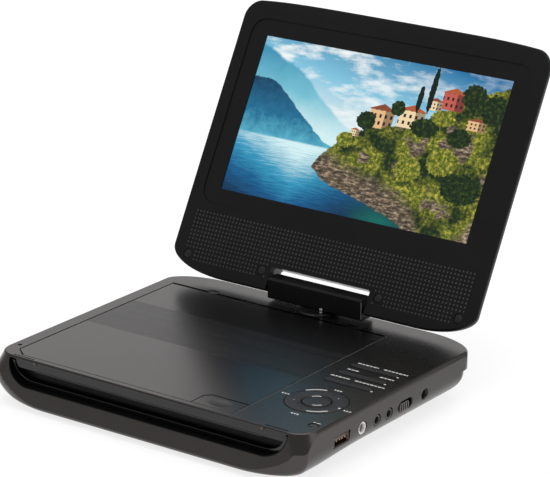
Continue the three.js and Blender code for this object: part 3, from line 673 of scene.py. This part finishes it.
def open_key():
    front, back, bevel = OPENING["front"] + 0.3, NOTCH["back"] - 0.8, NOTCH["bevel"] + 0.2
    left, right = NOTCH["left"] + 0.4, LID["right"] - 0.1
    plate = prism([(left, front), (right, front), (right, back), (left + bevel, back), (left, back - bevel)],
                  -1.5, 0)
    hollow = moved(turned([(0, 1), (7.4, 1), (7.4, 0.0), (5.6, -0.1), (0, -0.16)], 64))
    hollow.transform(Matrix.Translation((37.5, -144, 0)) @ Matrix.Diagonal((1, 0.62, 1, 1)))
    leg = block(29, 45, -147.5, -146.5, -4.6, -1.4)
    piece("lid_release_key", join(cut(plate, hollow), leg), "open_key", LID_SHEEN,
          stands_for=["open_button"], bevel=0.25)


def disc_bay():
    left, right, front, back = -85.4, 49.9, -149, -17.2
    plate = prism([(left, back), (left, LID["front"] + 6.4), (left + LID["chamfer"][0], front),
                   (right, front), (right, back)], -4.2, -2.6)
    x, y, r = DISC["x"], DISC["y"], DISC["well"]
    cup = moved(turned(rod(r + 1.5, -10.5, -2.6), 128), x, y)
    well = moved(turned(rod(r, DISC["floor"], 0), 128), x, y)
    step = moved(turned([(16, -9.3), (20, -9.3), (20, 0), (16, 0), (16, -9.3)], 96), x, y)
    hub = moved(turned(rod(14, -12, 0)), x, y)
    slot = prism(rounded(x - 8, x + 8, y - 61.5, y + 4, 3), -12, 0)
    corner = block(NOTCH["left"] - 1.5, right + 1, front - 1, -133.5, -6, 0)
    deck = cut(join(plate, cup), well, step, hub, slot, corner)
    piece("disc_bay", deck, "base", DECK_BLACK, stands_for=["disc_deck"], bevel=0.3)


def clamp_hub():
    body = turned([(1.2, -8.3), (13, -8.3), (13, -7.6), (12.6, -7.3), (7.9, -7.3), (7.5, -6.9), (7.35, -5.4),
                   (6.9, -4.8), (5.6, -4.4), (1.2, -4.4), (1.2, -8.3)])
    catches = []
    for a in (90, 210, 330):
        ball = turned([(0, -6.9), (0.6, -6.7), (0.85, -6.2), (0.6, -5.6), (0, -5.4)], 24)
        catches.append(moved(ball, 7.1 * math.cos(math.radians(a)), 7.1 * math.sin(math.radians(a))))
    piece("clamp_hub", moved(join(body, *catches), DISC["x"], DISC["y"]), "hub", KEY_BLACK,
          stands_for=["disc_hub"], bevel=0.15)


# ---------------------------------------------------------------- base: keys and their printed marks
def arc_mark(x, y, r, width, middle, half_angle, z):
    outer = arc(x, y, r + width / 2, r + width / 2, middle - half_angle, middle + half_angle, 16)
    inner = arc(x, y, r - width / 2, r - width / 2, middle + half_angle, middle - half_angle, 16)
    return prism(outer + inner, z, z + PRINT_DEPTH)


def bar_mark(x0, x1, y, width, z):
    return block(x0, x1, y - width / 2, y + width / 2, z, z + PRINT_DEPTH)


def dot_mark(x, y, r, z):
    return moved(turned(rod(r, z, z + PRINT_DEPTH), 24), x, y)


def direction_pad():
    r, inner = PAD["outer"], PAD["inner"]
    ring = turned([(inner, -4), (17, -4), (17, -3.3), (r, -3.3), (r, -0.1), (r - 0.15, 0.2), (r - 0.6, 0.4),
                   (r - 3.5, 0.42), (inner + 3, 0.36), (inner + 0.8, 0.25), (inner + 0.2, 0.0), (inner, -0.4),
                   (inner, -4)], 128)
    ring = moved(ring, PAD["x"], PAD["y"])
    piece("direction_ring", ring, "dpad", KEY_BLACK, stands_for=["dpad_ring"], sharp=50)
    marks = [arc_mark(PAD["x"], PAD["y"], r - 1.3, 0.85, middle, 21, 0.4) for middle in (125, 305)]
    marks += [dot_mark(PAD["x"] + dx, PAD["y"] + dy, size, 0.4)
              for dx, dy, size in ((14.3, -2, 0.65), (6.9, 8.2, 0.3), (-9.3, -5.6, 0.3))]
    piece("direction_marks", merged(*marks), "dpad", PRINT)
    button = PAD["button"]
    cap = turned([(0, -4.1), (button, -4.1), (button, -0.1), (button - 0.2, 0.15), (button - 0.7, 0.3),
                  (3, 0.34), (0, 0.35)], 96)
    piece("centre_key", moved(cap, PAD["x"], PAD["y"]), "ok_key", KEY_BLACK,
          stands_for=["ok_button"], sharp=50)
    marks = [arc_mark(PAD["x"], PAD["y"], button - 1.1, 0.7, middle, 22, 0.31) for middle in (125, 305)]
    piece("centre_marks", merged(*marks), "ok_key", PRINT)


def rocker_keys():
    for number, y in enumerate(ROCKER["ys"], 1):
        top = prism(rocker_outline(y), -4, ROCKER["top"])
        skirt = block(ROCKER["x"] - 15, ROCKER["x"] + 15, y - 3, y + 3, -4, -3.3)
        waist = block(ROCKER["x"] - 0.3, ROCKER["x"] + 0.3, y - 3, y + 3, 0.1, 1)
        piece(f"rocker_cap_{number}", cut(join(top, skirt), waist), f"rocker_{number}",
              KEY_BLACK, stands_for=[f"rocker_key_{number}"], bevel=0.3)


def panel_marks():
    """Generic marks round the keys: dashes over each rocker, a dot beside it, arrows round the pad."""
    z = 0.01
    marks = []
    labels = ((-81, (58, 69), (72, 90)), (-69.6, (60, 67), (79, 87)), (-60, (60, 72), (75, 89)))
    for line, *spans in labels:
        for start, end in spans:
            x, long = start, True
            while x < end - 0.5:
                length = min(2.1 if long else 1.3, end - x)
                marks.append(bar_mark(x, x + length, line, 1.0, z))
                x, long = x + length + 0.5, not long
    for y in ROCKER["ys"]:
        marks.append(dot_mark(ROCKER["x"] + 14.1, y - 1.2, 0.6, z))
    for dx, dy, flip in ((-18, -0.5, -1), (0.8, 17.4, 1), (0.4, -19.2, -1), (19, -2, 1)):
        for k in (-1.6, 0, 1.6):
            x, y = PAD["x"] + dx + k, PAD["y"] + dy
            arrow = [(x - 0.7 * flip, y - 0.8), (x + 0.7 * flip, y), (x - 0.7 * flip, y + 0.8)]
            marks.append(prism(arrow[::flip], z, z + PRINT_DEPTH))
    marks.append(bar_mark(86.3, 87.6, -137.2, 0.6, z))
    marks.append(bar_mark(88.1, 90.4, -137.2, 0.6, z))
    piece("panel_marks", merged(*marks), "base", PRINT)
    lens = turned([(0, -3.2), (2.5, -3.2), (2.5, -0.25), (2.2, 0.0), (1.5, 0.17), (0, 0.25)], 64)
    piece("sensor_window", moved(lens, *SENSOR[:2]), "base", GLOSS,
          stands_for=["remote_sensor"], sharp=60)


# ---------------------------------------------------------------- base: sockets and power switch
def usb_port():
    y = PORTS["usb"]
    shell = cut(sideways(rounded(y - 6.3, y + 6.3, PORT_Z - 2.8, PORT_Z + 2.8, 0.6),
                         JACK_BACK, JACK_FACE),
                block(82.5, 97, y - 5.8, y + 5.8, PORT_Z - 2.3, PORT_Z + 2.3))
    piece("usb_shell", shell, "base", USB_STEEL, stands_for=["usb_socket"], bevel=0.12)
    tongue = block(82.6, 93.6, y - 5, y + 5, PORT_Z + 0.2, PORT_Z + 1.8)
    piece("usb_tongue", tongue, "base", TONGUE, bevel=0.15)
    pads = merged(*[block(84, 93.7, y + dy - 0.55, y + dy + 0.55, PORT_Z - 0.25, PORT_Z + 0.25)
                    for dy in (-3.5, -1, 1, 3.5)],
                  block(84, 93.8, y + 5.1, y + 5.7, PORT_Z - 2, PORT_Z + 2))
    piece("usb_contacts", pads, "base", BRASS)


def round_ports():
    depth = 2.0

    def barrel(y, outer, bore, material, name, node, pin=0.0):
        rim = JACK_FACE - 0.3
        profile = [(0, JACK_BACK), (outer, JACK_BACK), (outer, rim), (outer - 0.25, JACK_FACE),
                   (bore + 0.25, JACK_FACE), (bore, rim), (bore, JACK_BACK + depth), (0, JACK_BACK + depth)]
        body = facing_right(profile, y, PORT_Z, 64)
        if pin:
            body = join(body, facing_right([(0, 82), (pin, 82), (pin, 92.3), (0, 92.8)], y, PORT_Z, 32))
        piece(name, body, "base", material, stands_for=[node], sharp=40)

    barrel(PORTS["av"], 3.3, 2.15, PALE_RING, "av_barrel", "av_jack")
    well = facing_right([(0.55, 90), (2.1, 90), (2.1, 92.9), (1.5, 93.1), (0.55, 92.6), (0.55, 90)],
                        PORTS["av"], PORT_Z)
    piece("av_well", well, "base", KNOB, sharp=40)
    for number, y in enumerate(PORTS["phones"], 1):
        barrel(y, 3.1, 1.75, SOCKET_BLACK, f"phones_barrel_{number}", f"headphone_jack_{number}")
        rim = facing_right([(1.9, 93), (2.4, 93), (2.4, 94.25), (1.9, 94.25), (1.9, 93)], y, PORT_Z)
        piece(f"phones_rim_{number}", rim, "base", KNOB, sharp=40)
    barrel(PORTS["dc"], 2.9, 2.2, SOCKET_BLACK, "dc_barrel", "dc_jack", pin=0.7)


def power_switch():
    y, half = POWER["knob_y"], POWER["knob"] / 2
    knob = sideways(rounded(y - half, y + half, PORT_Z - 2.2, PORT_Z + 2.2, 1.6), 89.2, 95.1)
    ribs = merged(*[block(JACK_FACE, 96, y + dy - 0.4, y + dy + 0.4, PORT_Z - 1.7, PORT_Z + 1.7)
                    for dy in (-2.7, -0.9, 0.9, 2.7)])
    stem = block(84, 89.3, y - 2, y + 2, PORT_Z - 1.5, PORT_Z + 1.5)
    piece("power_slider", join(cut(knob, ribs), stem), "power_knob", KNOB,
          stands_for=["power_switch"], bevel=0.18)

    def slot(inset, half_height, r):
        reach = POWER["slot"] / 2 - inset
        return rounded(POWER["y"] - reach, POWER["y"] + reach, PORT_Z - half_height, PORT_Z + half_height, r)

    liner = cut(sideways(slot(0.1, 2.9, 2.85), 88.3, 94.3),
                sideways(slot(0.45, 2.6, 2.5), 88.9, 97),
                block(87, 90, y - 2.4, y + 4.9, PORT_Z - 1.9, PORT_Z + 1.9))
    piece("power_slot_liner", liner, "base", SOCKET_BLACK, bevel=0.1)


# ---------------------------------------------------------------- base: feet, screws and the swivel
def feet_and_screws():
    ground = (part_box("foot_1")[0][2] - SHELL_HIGH.z) / MM
    for number, (x, y) in enumerate(FEET, 1):
        pad = turned([(0, ground + 0.25), (3.4, ground + 0.25), (3.7, ground), (5.0, ground),
                      (5.5, ground + 0.15), (5.9, ground + 0.6), (6, ground + 1.1), (6, UNDERSIDE + 0.3),
                      (0, UNDERSIDE + 0.3)])
        piece(f"rubber_foot_{number}", moved(pad, x, y), "base", RUBBER,
              stands_for=[f"foot_{number}"], sharp=40)
    for number, (x, y) in enumerate(CASE_SCREWS, 1):
        body = turned([(0, -21.8), (1.4, -21.75), (2.1, -21.5), (2.5, -21), (2.5, -20.4), (1.2, -20.4),
                       (1.2, -6), (0, -6)], 48)
        cross = block(-1.3, 1.3, -0.3, 0.3, -23, -20.9)
        other = block(-0.3, 0.3, -1.3, 1.3, -23, -20.9)
        piece(f"cross_screw_{number}", moved(cut(body, cross, other), x, y), "base", STEEL,
              stands_for=[f"case_screw_{number}"], sharp=40)


def swivel():
    post = turned([(2, -6), (4.4, -6), (4.4, 0.25), (11, 0.25), (11, 0.5), (10.7, 0.75), (7.4, 0.8),
                   (7.4, 1.45), (7.2, 1.5), (2, 1.5), (2, -6)], 96)
    piece("turret", moved(post, 0, TURRET_Y), "swivel", BLOCK_BLACK,
          stands_for=["swivel_turret"], sharp=40)
    # Painted highlight: a short pale arc on the turret's disc, where its rounded edge catches the light.
    ring = moved(arc_mark(0, 0, 10.6, 0.4, -38, 26, 0.78), 0, TURRET_Y)
    piece("turret_painted_highlight_arc", ring, "swivel", KNOB, sharp=40)
    pin = moved(turned([(0, 0.5), (1, 0.5), (1, 1.7), (0.6, 2.0), (0.6, 2.3), (1, 2.6), (1, 3.3), (0.7, 3.7),
                        (0, 3.8)], 32), 5.5, -13.4)
    piece("turret_pin", pin, "swivel", STEEL, sharp=40)
    half, y, depth = BLOCK["half"], BLOCK["y"], BLOCK["depth"] / 2
    bottom, top = BLOCK["bottom"], BLOCK["top"]
    section = [(y - depth, bottom + 0.8), (y - depth + 0.8, bottom), (y + depth - 0.8, bottom),
               (y + depth, bottom + 0.8), *arc(y + depth - 3, top - 3, 3, 3, 0, 90, 10),
               (y - depth + 1.1, top), (y - depth, top - 1.1)]
    bar = cut(sideways(section, -half, half), facing_right(rod(BLOCK["shaft"], -40, 40), y, 6.1),
              moved(turned(rod(2.2, 0, 6)), 0, TURRET_Y))
    piece("hinge_barrel", bar, "swivel", BLOCK_BLACK, stands_for=["hinge_block"],
          bevel=0.3, segments=3)
    # Painted highlight: a thin pale strip down the hinge block's right front edge, where that edge catches the
    # light.
    line = block(half - 0.5, half + 0.02, y - depth - 0.02, y - depth + 0.4, bottom + 0.9, top - 1.3)
    piece("hinge_end_painted_highlight", line, "swivel", PAINTED_EDGE_HIGHLIGHT, bevel=0.1)


# ---------------------------------------------------------------- the screen
def screen_plan(inset, under):
    return {"w": SCREEN_HALF - inset, "back": SCREEN_TOP - inset, "front": SCREEN_BOTTOM + under,
            "crown": CROWN, "back_r": (9 - inset / 3, 9 - inset / 3), "front_r": (34, 13 - inset / 3)}


def screen_body(levels):
    """Levels of (depth behind the face, inset, inset of the bottom edge) as a body upright and facing -Y."""
    made = loft([(-depth, screen_plan(inset, under)) for depth, inset, under in sorted(levels, reverse=True)])
    made.transform(Matrix.Translation((0, FACE, 0)) @ Matrix.Rotation(math.radians(90), 4, "X"))
    return made


def hinge_gap(margin=0.0):
    half, top = CUTOUT["half"] + margin, CUTOUT["top"] + margin
    return upright([(half, -20), (half, top - 1), (half - 1, top), (-half + 1, top), (-half, top - 1),
                    (-half, -20)], -20, 20)


def shaft_bores():
    return merged(*[facing_right(rod(2.35, x0, x1), 0, 0) for x0, x1 in ((-42, -29), (29, 42))])


def screen_front():
    r = 0.9
    turns = [math.radians(a) for a in range(0, 91, 15)]
    insets = [(r * (1 - math.sin(turn)), r * (1 - math.cos(turn))) for turn in turns]
    outside = screen_body([(depth, inset, inset) for depth, inset in insets] + [(BEZEL, 0.6, 0)])
    hollow = cut(screen_body([(2.2, 2.4, 2), (BEZEL + 1, 2.6, 2)]), hinge_gap(1.8))
    low, high = LCD["bottom"], LCD["bottom"] + LCD["height"]
    half = LCD["half"]
    opening = upright([(-half, low), (half, low), (half, high), (-half, high)], -20, 20)
    frame_step = upright(rounded(-87.5, 87.5, low - 9, low + 96, 9, 12), -20, FACE + 0.5)
    seats = merged(*[facing_front(rod(2.5, -FACE - 1.3, 20), x, z) for x, z in PLUGS])
    bezel = cut(outside, hollow, opening, frame_step, hinge_gap(), seats, shaft_bores())
    bezel = cut(bezel, grille_cells(GRILLE["hole"], -0.6, 0.6))
    piece("screen_bezel", bezel, "screen", BEZEL_BLACK, SCREEN, ["front_bezel"])
    # Painted highlight: pale grey floors inside the grille holes, in place of the lit rims of the holes.
    mesh = grille_cells(GRILLE["hole"] - 0.04, 0.22, 0.56)
    piece("grille_floor_highlights", mesh, "screen", GRILLE_FLOOR_HIGHLIGHT, SCREEN)


def grille_cells(side, near, far):
    """A square grid of small square blocks round the hinge gap, between two depths behind the face."""
    bm = bmesh.new()
    pitch = GRILLE["pitch"]
    first = -(GRILLE["columns"] - 1) / 2 * pitch
    for column in range(GRILLE["columns"]):
        for row in range(GRILLE["rows"]):
            x, z = first + column * pitch, GRILLE["low"] + row * pitch
            if abs(x) < CUTOUT["half"] + 1.8 and z < CUTOUT["top"] + 1.9:
                continue
            if any(math.hypot(x - px, z - pz) < 3.7 for px, pz in PLUGS):
                continue
            if abs(x) > 82 and z < 4:
                continue
            middle = Matrix.Translation((x, FACE + (near + far) / 2, z))
            bmesh.ops.create_cube(bm, size=1, matrix=middle @ Matrix.Diagonal((side, far - near, side, 1)))
    return mesh_of(bm)


def screen_back():
    split = BEZEL + 0.05
    levels = []
    for a in range(0, 91, 6):
        turn, reach = 1 - math.cos(math.radians(a)), math.sin(math.radians(a))
        inset = 0.7 + 13.3 * turn + 2.2 * reach * (1 - reach)
        levels.append((split + (THICK - split) * reach, inset, 10.5 * turn))
    shell = screen_body(levels)
    hollow = cut(screen_body([(split - 1, 2.6, 2), (6, 4.2, 2.3), (7.4, 5.8, 3.4), (THICK - 1.8, 8.8, 6.2)]),
                 hinge_gap(1.8))
    shell = cut(shell, hollow, hinge_gap(), shaft_bores())
    piece("screen_back", shell, "screen", CASING, SCREEN, ["rear_shell"], bevel=0.15)


def plugs():
    for number, (x, z) in enumerate(PLUGS, 1):
        cap = [(0, -FACE - 1), (2.4, -FACE - 1), (2.4, -FACE - 0.35), (2.1, -FACE - 0.12),
               (1.2, -FACE - 0.02), (0, -FACE)]
        piece(f"bezel_plug_{number}", facing_front(cap, x, z), "screen", PLUG, SCREEN,
              [f"screw_plug_{number}"], sharp=60)


# ---------------------------------------------------------------- the picture: a made-up lake under hills
def picture_material():
    """u and v run from 0 to 1 across the picture; every shape in it is worked out from noise and lines."""
    made = Nodes("display", (0, 0, 0, 1), 0.12, 0.0, 0.35)
    spot = made.node("UVMap", uv_map="picture").outputs[0]
    u, v = made.axis("X", spot), made.axis("Y", spot)
    wide = made.stretched(1.77, 1, 1, spot)

    def noise(scale, detail=4.0, rough=0.55, vector=None):
        return made.noise(scale, detail, vector or wide, rough)

    def ridge(points, wobble, scale):
        """A height for each u, through a few points, with a rough edge."""
        curve = made.node("FloatCurve", {"Value": u})
        line = curve.mapping.curves[0]
        for k, (x, y) in enumerate(points):
            if k < 2:
                line.points[k].location = (x, y)
            else:
                line.points.new(x, y)
        curve.mapping.update()
        rough = made.math("MULTIPLY", made.math("SUBTRACT", noise(scale, 5.0, 0.6), 0.5), wobble)
        return made.math("ADD", curve.outputs[0], rough)

    def below(height, softness=0.006):
        return made.between(made.math("SUBTRACT", height, v), -softness, softness, 0.0, 1.0)

    def tones(factor, *stops):
        ramp = made.node("ValToRGB", {"Fac": factor})
        elements = ramp.color_ramp.elements
        for k, (at, tone) in enumerate(stops):
            element = elements[k] if k < 2 else elements.new(at)
            element.position, element.color = at, tone
        return ramp.outputs[0]

    def both(first, second):
        return made.math("MULTIPLY", first, second)

    def weighted(first, by_first, second, by_second):
        return made.math("ADD", both(first, by_first), both(second, by_second))

    sky = tones(weighted(v, 0.8, u, 0.22), (0.5, colour(226, 241, 244)), (0.72, colour(132, 200, 226)),
                (0.98, colour(28, 112, 164)))
    clouds = made.between(noise(4.0, 6.0, 0.62, made.stretched(1.3, 2.2, 1, spot)), 0.46, 0.62, 0.0, 1.0)
    clouds = both(clouds, made.between(u, 0.35, 1.0, 1.0, 0.35))
    image = made.mix(clouds, sky, colour(244, 250, 250))
    far = ridge([(0, 0.95), (0.1, 0.88), (0.2, 0.8), (0.32, 0.64), (0.45, 0.52), (1, 0.45)], 0.05, 9)
    haze = tones(made.math("SUBTRACT", v, both(noise(8), 0.12)), (0.4, colour(214, 243, 246)),
                 (0.62, colour(120, 196, 216)), (0.85, colour(64, 150, 184)))
    image = made.mix(below(far, 0.01), image, haze)
    near = ridge([(0, 0.74), (0.08, 0.73), (0.18, 0.62), (0.28, 0.5), (0.38, 0.4), (1, 0.3)], 0.05, 12)
    slopes = tones(made.math("SUBTRACT", v, made.math("MULTIPLY", noise(16, 6.0, 0.7), 0.3)),
                   (0.2, colour(92, 184, 208)), (0.38, colour(30, 112, 150)), (0.6, colour(10, 60, 96)))
    image = made.mix(below(near, 0.004), image, slopes)
    shore = ridge([(0, 0.385), (1, 0.375)], 0.004, 20)
    ripples = noise(7.0, 6.0, 0.7, made.stretched(2.0, 18, 1, spot))
    away = made.math("ABSOLUTE", made.math("SUBTRACT", u, 0.27))
    light = made.math("SUBTRACT", weighted(v, 1.9, ripples, 0.75), made.math("MULTIPLY", away, 1.3))
    water = tones(light, (0.05, colour(4, 44, 78)), (0.35, colour(12, 92, 142)), (0.62, colour(52, 156, 194)),
                  (0.98, colour(216, 246, 248)))
    image = made.mix(below(shore), image, water)
    cove = made.between(made.math("ABSOLUTE", made.math("SUBTRACT", u, 0.64)), 0.02, 0.14, 1.0, 0.0)
    image = made.mix(both(cove, made.between(v, 0.02, 0.14, 0.9, 0.0)), image, colour(10, 118, 104))

    crest = ridge([(0, -0.3), (0.29, 0.0), (0.33, 0.26), (0.4, 0.42), (0.5, 0.55), (0.62, 0.6), (0.74, 0.69),
                   (0.86, 0.84), (1, 0.95)], 0.08, 16)
    foot = ridge([(0.0, 0.5), (0.3, 0.27), (0.38, 0.2), (0.5, 0.13), (0.62, 0.08), (0.74, 0.0), (0.86, -0.2),
                  (1, -0.4)], 0.06, 14)
    land = both(below(crest, 0.004), made.math("SUBTRACT", 1.0, below(foot, 0.004)))
    patches = made.between(noise(7, 3.0), 0.4, 0.6, 0.0, 1.0)
    stone = tones(noise(30, 6.0, 0.75, made.stretched(1.2, 1.9, 1, spot)), (0.34, colour(22, 20, 20)),
                  (0.5, colour(92, 80, 66)), (0.68, colour(216, 192, 158)))
    shaded = tones(noise(40, 6.0, 0.75), (0.34, colour(4, 14, 8)), (0.52, colour(22, 46, 16)),
                   (0.72, colour(84, 104, 34)))
    sunlit = tones(noise(40, 6.0, 0.75), (0.32, colour(18, 34, 8)), (0.5, colour(104, 116, 30)),
                   (0.7, colour(232, 214, 96)))
    leaves = made.mix(patches, shaded, sunlit)
    rocky = made.between(made.math("SUBTRACT", v, foot), 0.1, 0.2, 1.0, 0.0)
    rocky = made.math("MAXIMUM", rocky, made.between(noise(4.5, 3.0), 0.55, 0.6, 0.0, 1.0))
    image = made.mix(land, image, made.mix(rocky, leaves, stone))
    mirrored = both(both(below(foot, 0.06), made.between(u, 0.3, 0.6, 0.0, 0.75)),
                    made.between(v, 0.0, 0.2, 0.35, 1.0))
    image = made.mix(both(mirrored, made.between(ripples, 0.35, 0.6, 0.4, 1.0)), image, colour(6, 34, 44))

    def house(x, y, width, height, wall, roof):
        """A plain box with a pitched roof and rows of dark windows, lit from the left."""
        along = made.math("SUBTRACT", u, x)
        across = made.math("ABSOLUTE", along)
        up = made.math("SUBTRACT", v, y)
        level = both(made.math("GREATER_THAN", up, 0.0), made.math("LESS_THAN", up, height))
        inside = both(made.math("LESS_THAN", across, width / 2), level)
        rows = made.math("GREATER_THAN", made.math("FRACT", both(up, 2.6 / height)), 0.5)
        columns = made.math("GREATER_THAN", made.math("FRACT", both(along, 4.4 / width)), 0.58)
        lit = made.mix(made.math("GREATER_THAN", along, width * 0.12), wall, shade(wall, 0.42))
        face = made.mix(both(rows, columns), lit, colour(44, 30, 26))
        pitch = made.math("SUBTRACT", height * 1.34, made.math("MULTIPLY", across, height * 0.6 / width))
        eaves = both(made.math("GREATER_THAN", up, height * 0.98), made.math("LESS_THAN", up, pitch))
        cap = both(made.math("LESS_THAN", across, width * 0.57), eaves)
        return made.mix(cap, made.mix(inside, image, face), roof)

    def tree(x, y, half_width, half_height, tone):
        """A round or tall tree with a ragged edge."""
        across = made.math("DIVIDE", made.math("SUBTRACT", u, x), half_width)
        up = made.math("DIVIDE", made.math("SUBTRACT", v, y), half_height)
        reach = made.math("ADD", both(across, across), both(up, up))
        ragged = made.math("ADD", reach, made.math("MULTIPLY", noise(45, 3.0), 1.2))
        return made.mix(made.math("LESS_THAN", ragged, 1.5), image, tone)

    plaster, rose, sand = colour(232, 190, 138), colour(196, 92, 82), colour(244, 218, 176)
    tiles, rust = colour(178, 92, 56), colour(138, 74, 50)
    for x, y, width, height, wall, roof in (
            (0.545, 0.565, 0.095, 0.115, plaster, rust), (0.66, 0.6, 0.1, 0.11, sand, tiles),
            (0.80, 0.755, 0.085, 0.105, rose, tiles), (0.735, 0.735, 0.055, 0.06, sand, rust),
            (0.91, 0.66, 0.07, 0.06, plaster, rust), (0.46, 0.49, 0.035, 0.04, sand, tiles)):
        image = house(x, y, width, height, wall, roof)
    for x, y, half_width, half_height, tone in (
            (0.712, 0.86, 0.012, 0.15, colour(8, 28, 18)), (0.672, 0.79, 0.011, 0.09, colour(10, 32, 18)),
            (0.6, 0.71, 0.03, 0.05, shaded), (0.49, 0.6, 0.04, 0.06, shaded),
            (0.875, 0.86, 0.05, 0.08, shaded), (0.43, 0.46, 0.035, 0.05, sunlit),
            (0.6, 0.55, 0.045, 0.05, leaves), (0.72, 0.62, 0.06, 0.06, shaded),
            (0.78, 0.7, 0.05, 0.05, sunlit), (0.86, 0.6, 0.05, 0.06, shaded),
            (0.96, 0.8, 0.05, 0.1, shaded), (0.82, 0.44, 0.06, 0.09, sunlit),
            (0.7, 0.36, 0.055, 0.08, sunlit), (0.92, 0.3, 0.08, 0.1, shaded)):
        image = tree(x, y, half_width, half_height, tone)
    made.link(image, "Emission Color")
    made.set("Emission Strength", 0.95)
    made.set("Base Color", (0.004, 0.004, 0.005, 1))
    made.bump(made.noise(8, 1.0), 0.01)
    return made.material


def display():
    """The panel behind the bezel and the lit picture on it."""
    low, high = LCD["bottom"], LCD["bottom"] + LCD["height"]
    body = join(block(-76.75, 76.75, FACE + 1.05, FACE + 3, low + 0.3, high - 0.3),
                block(-82, 82, FACE + 2.6, FACE + 5.6, low - 5, high + 4))
    piece("panel_body", body, "screen", BEZEL_BLACK, SCREEN, ["lcd_panel"], bevel=0.2)
    columns, rows = 24, 14
    bm = bmesh.new()
    layer = bm.loops.layers.uv.new("picture")
    half = LCD["half"] - 0.15
    across = [-half + 2 * half * i / columns for i in range(columns + 1)]
    heights = [low + 0.1 + (high - low - 0.2) * j / rows for j in range(rows + 1)]
    grid = [[bm.verts.new((x, FACE + 1.0, z)) for x in across] for z in heights]
    for j in range(rows):
        for i in range(columns):
            face = bm.faces.new((grid[j][i], grid[j][i + 1], grid[j + 1][i + 1], grid[j + 1][i]))
            for loop, (du, dv) in zip(face.loops, ((0, 0), (1, 0), (1, 1), (0, 1))):
                loop[layer].uv = ((i + du) / columns, (j + dv) / rows)
    mesh = bpy.data.meshes.new("picture")
    bm.to_mesh(mesh)
    bm.free()
    piece("picture", mesh, "screen", picture_material(), SCREEN)


# ---------------------------------------------------------------- stage, light and camera
def stage():
    bm = bmesh.new()
    bmesh.ops.create_grid(bm, x_segments=40, y_segments=40, size=4)
    mesh = mesh_of(bm)
    floor = bpy.data.objects.new("floor", mesh)
    floor.location.z = cad_low[2]
    bpy.context.scene.collection.objects.link(floor)
    made = Nodes("floor_paper", colour(250, 250, 250), 0.7, 0.0, 0.2)
    made.vary(colour(146, 146, 146), colour(150, 150, 150), 3)
    made.set("Emission Color", (1, 1, 1, 1))
    made.set("Emission Strength", 0.78)
    mesh.materials.append(made.material)


def area_light(name, place, aim, width, height, power):
    light = bpy.data.lights.new(name, "AREA")
    light.shape = "RECTANGLE"
    light.size, light.size_y = width, height
    light.energy = power
    obj = bpy.data.objects.new(name, light)
    obj.location = place
    obj.rotation_mode = "QUATERNION"
    obj.rotation_quaternion = (Vector(aim) - Vector(place)).to_track_quat("-Z", "Y")
    bpy.context.scene.collection.objects.link(obj)


def lights():
    world = bpy.data.worlds.new("studio")
    bpy.context.scene.world = world
    world.use_nodes = True
    background = world.node_tree.nodes["Background"]
    background.inputs["Color"].default_value = (1, 1, 1, 1)
    background.inputs["Strength"].default_value = 0.36
    for settings in LIGHTS:
        area_light(*settings)


def camera():
    azimuth, elevation, roll = (math.radians(VIEW[key]) for key in ("azimuth", "elevation", "roll"))
    eye = BASE @ Vector(VIEW["eye"])
    back = Vector((math.sin(azimuth) * math.cos(elevation), -math.cos(azimuth) * math.cos(elevation),
                   math.sin(elevation)))
    right = Vector((math.cos(azimuth), math.sin(azimuth), 0))
    up = back.cross(right)
    turned_right = right * math.cos(roll) + up * math.sin(roll)
    turned_up = up * math.cos(roll) - right * math.sin(roll)
    data = bpy.data.cameras.new("camera")
    data.sensor_width = 36
    data.lens = VIEW["lens"]
    data.clip_start, data.clip_end = 0.05, 20
    obj = bpy.data.objects.new("camera", data)
    facing = Matrix((turned_right, turned_up, back)).transposed().to_4x4()
    obj.matrix_world = Matrix.Translation(eye) @ facing
    bpy.context.scene.collection.objects.link(obj)
    bpy.context.scene.camera = obj


# ---------------------------------------------------------------- making it all
for node_name, node in frame["nodes"].items():
    wanted = next(s["material_slot"] for s in frame["record"]["subparts"] if s["node"] == node_name)
    if wanted in SLOTS:
        node.data.materials.clear()
        node.data.materials.append(SLOTS[wanted])

camera()
casing_top()
casing_bottom()
front_strip()
disc_lid()
open_key()
disc_bay()
clamp_hub()
direction_pad()
rocker_keys()
panel_marks()
usb_port()
round_ports()
power_switch()
feet_and_screws()
swivel()
screen_front()
screen_back()
plugs()
display()
stage()
lights()
bpy.context.scene.view_settings.view_transform = "Standard"
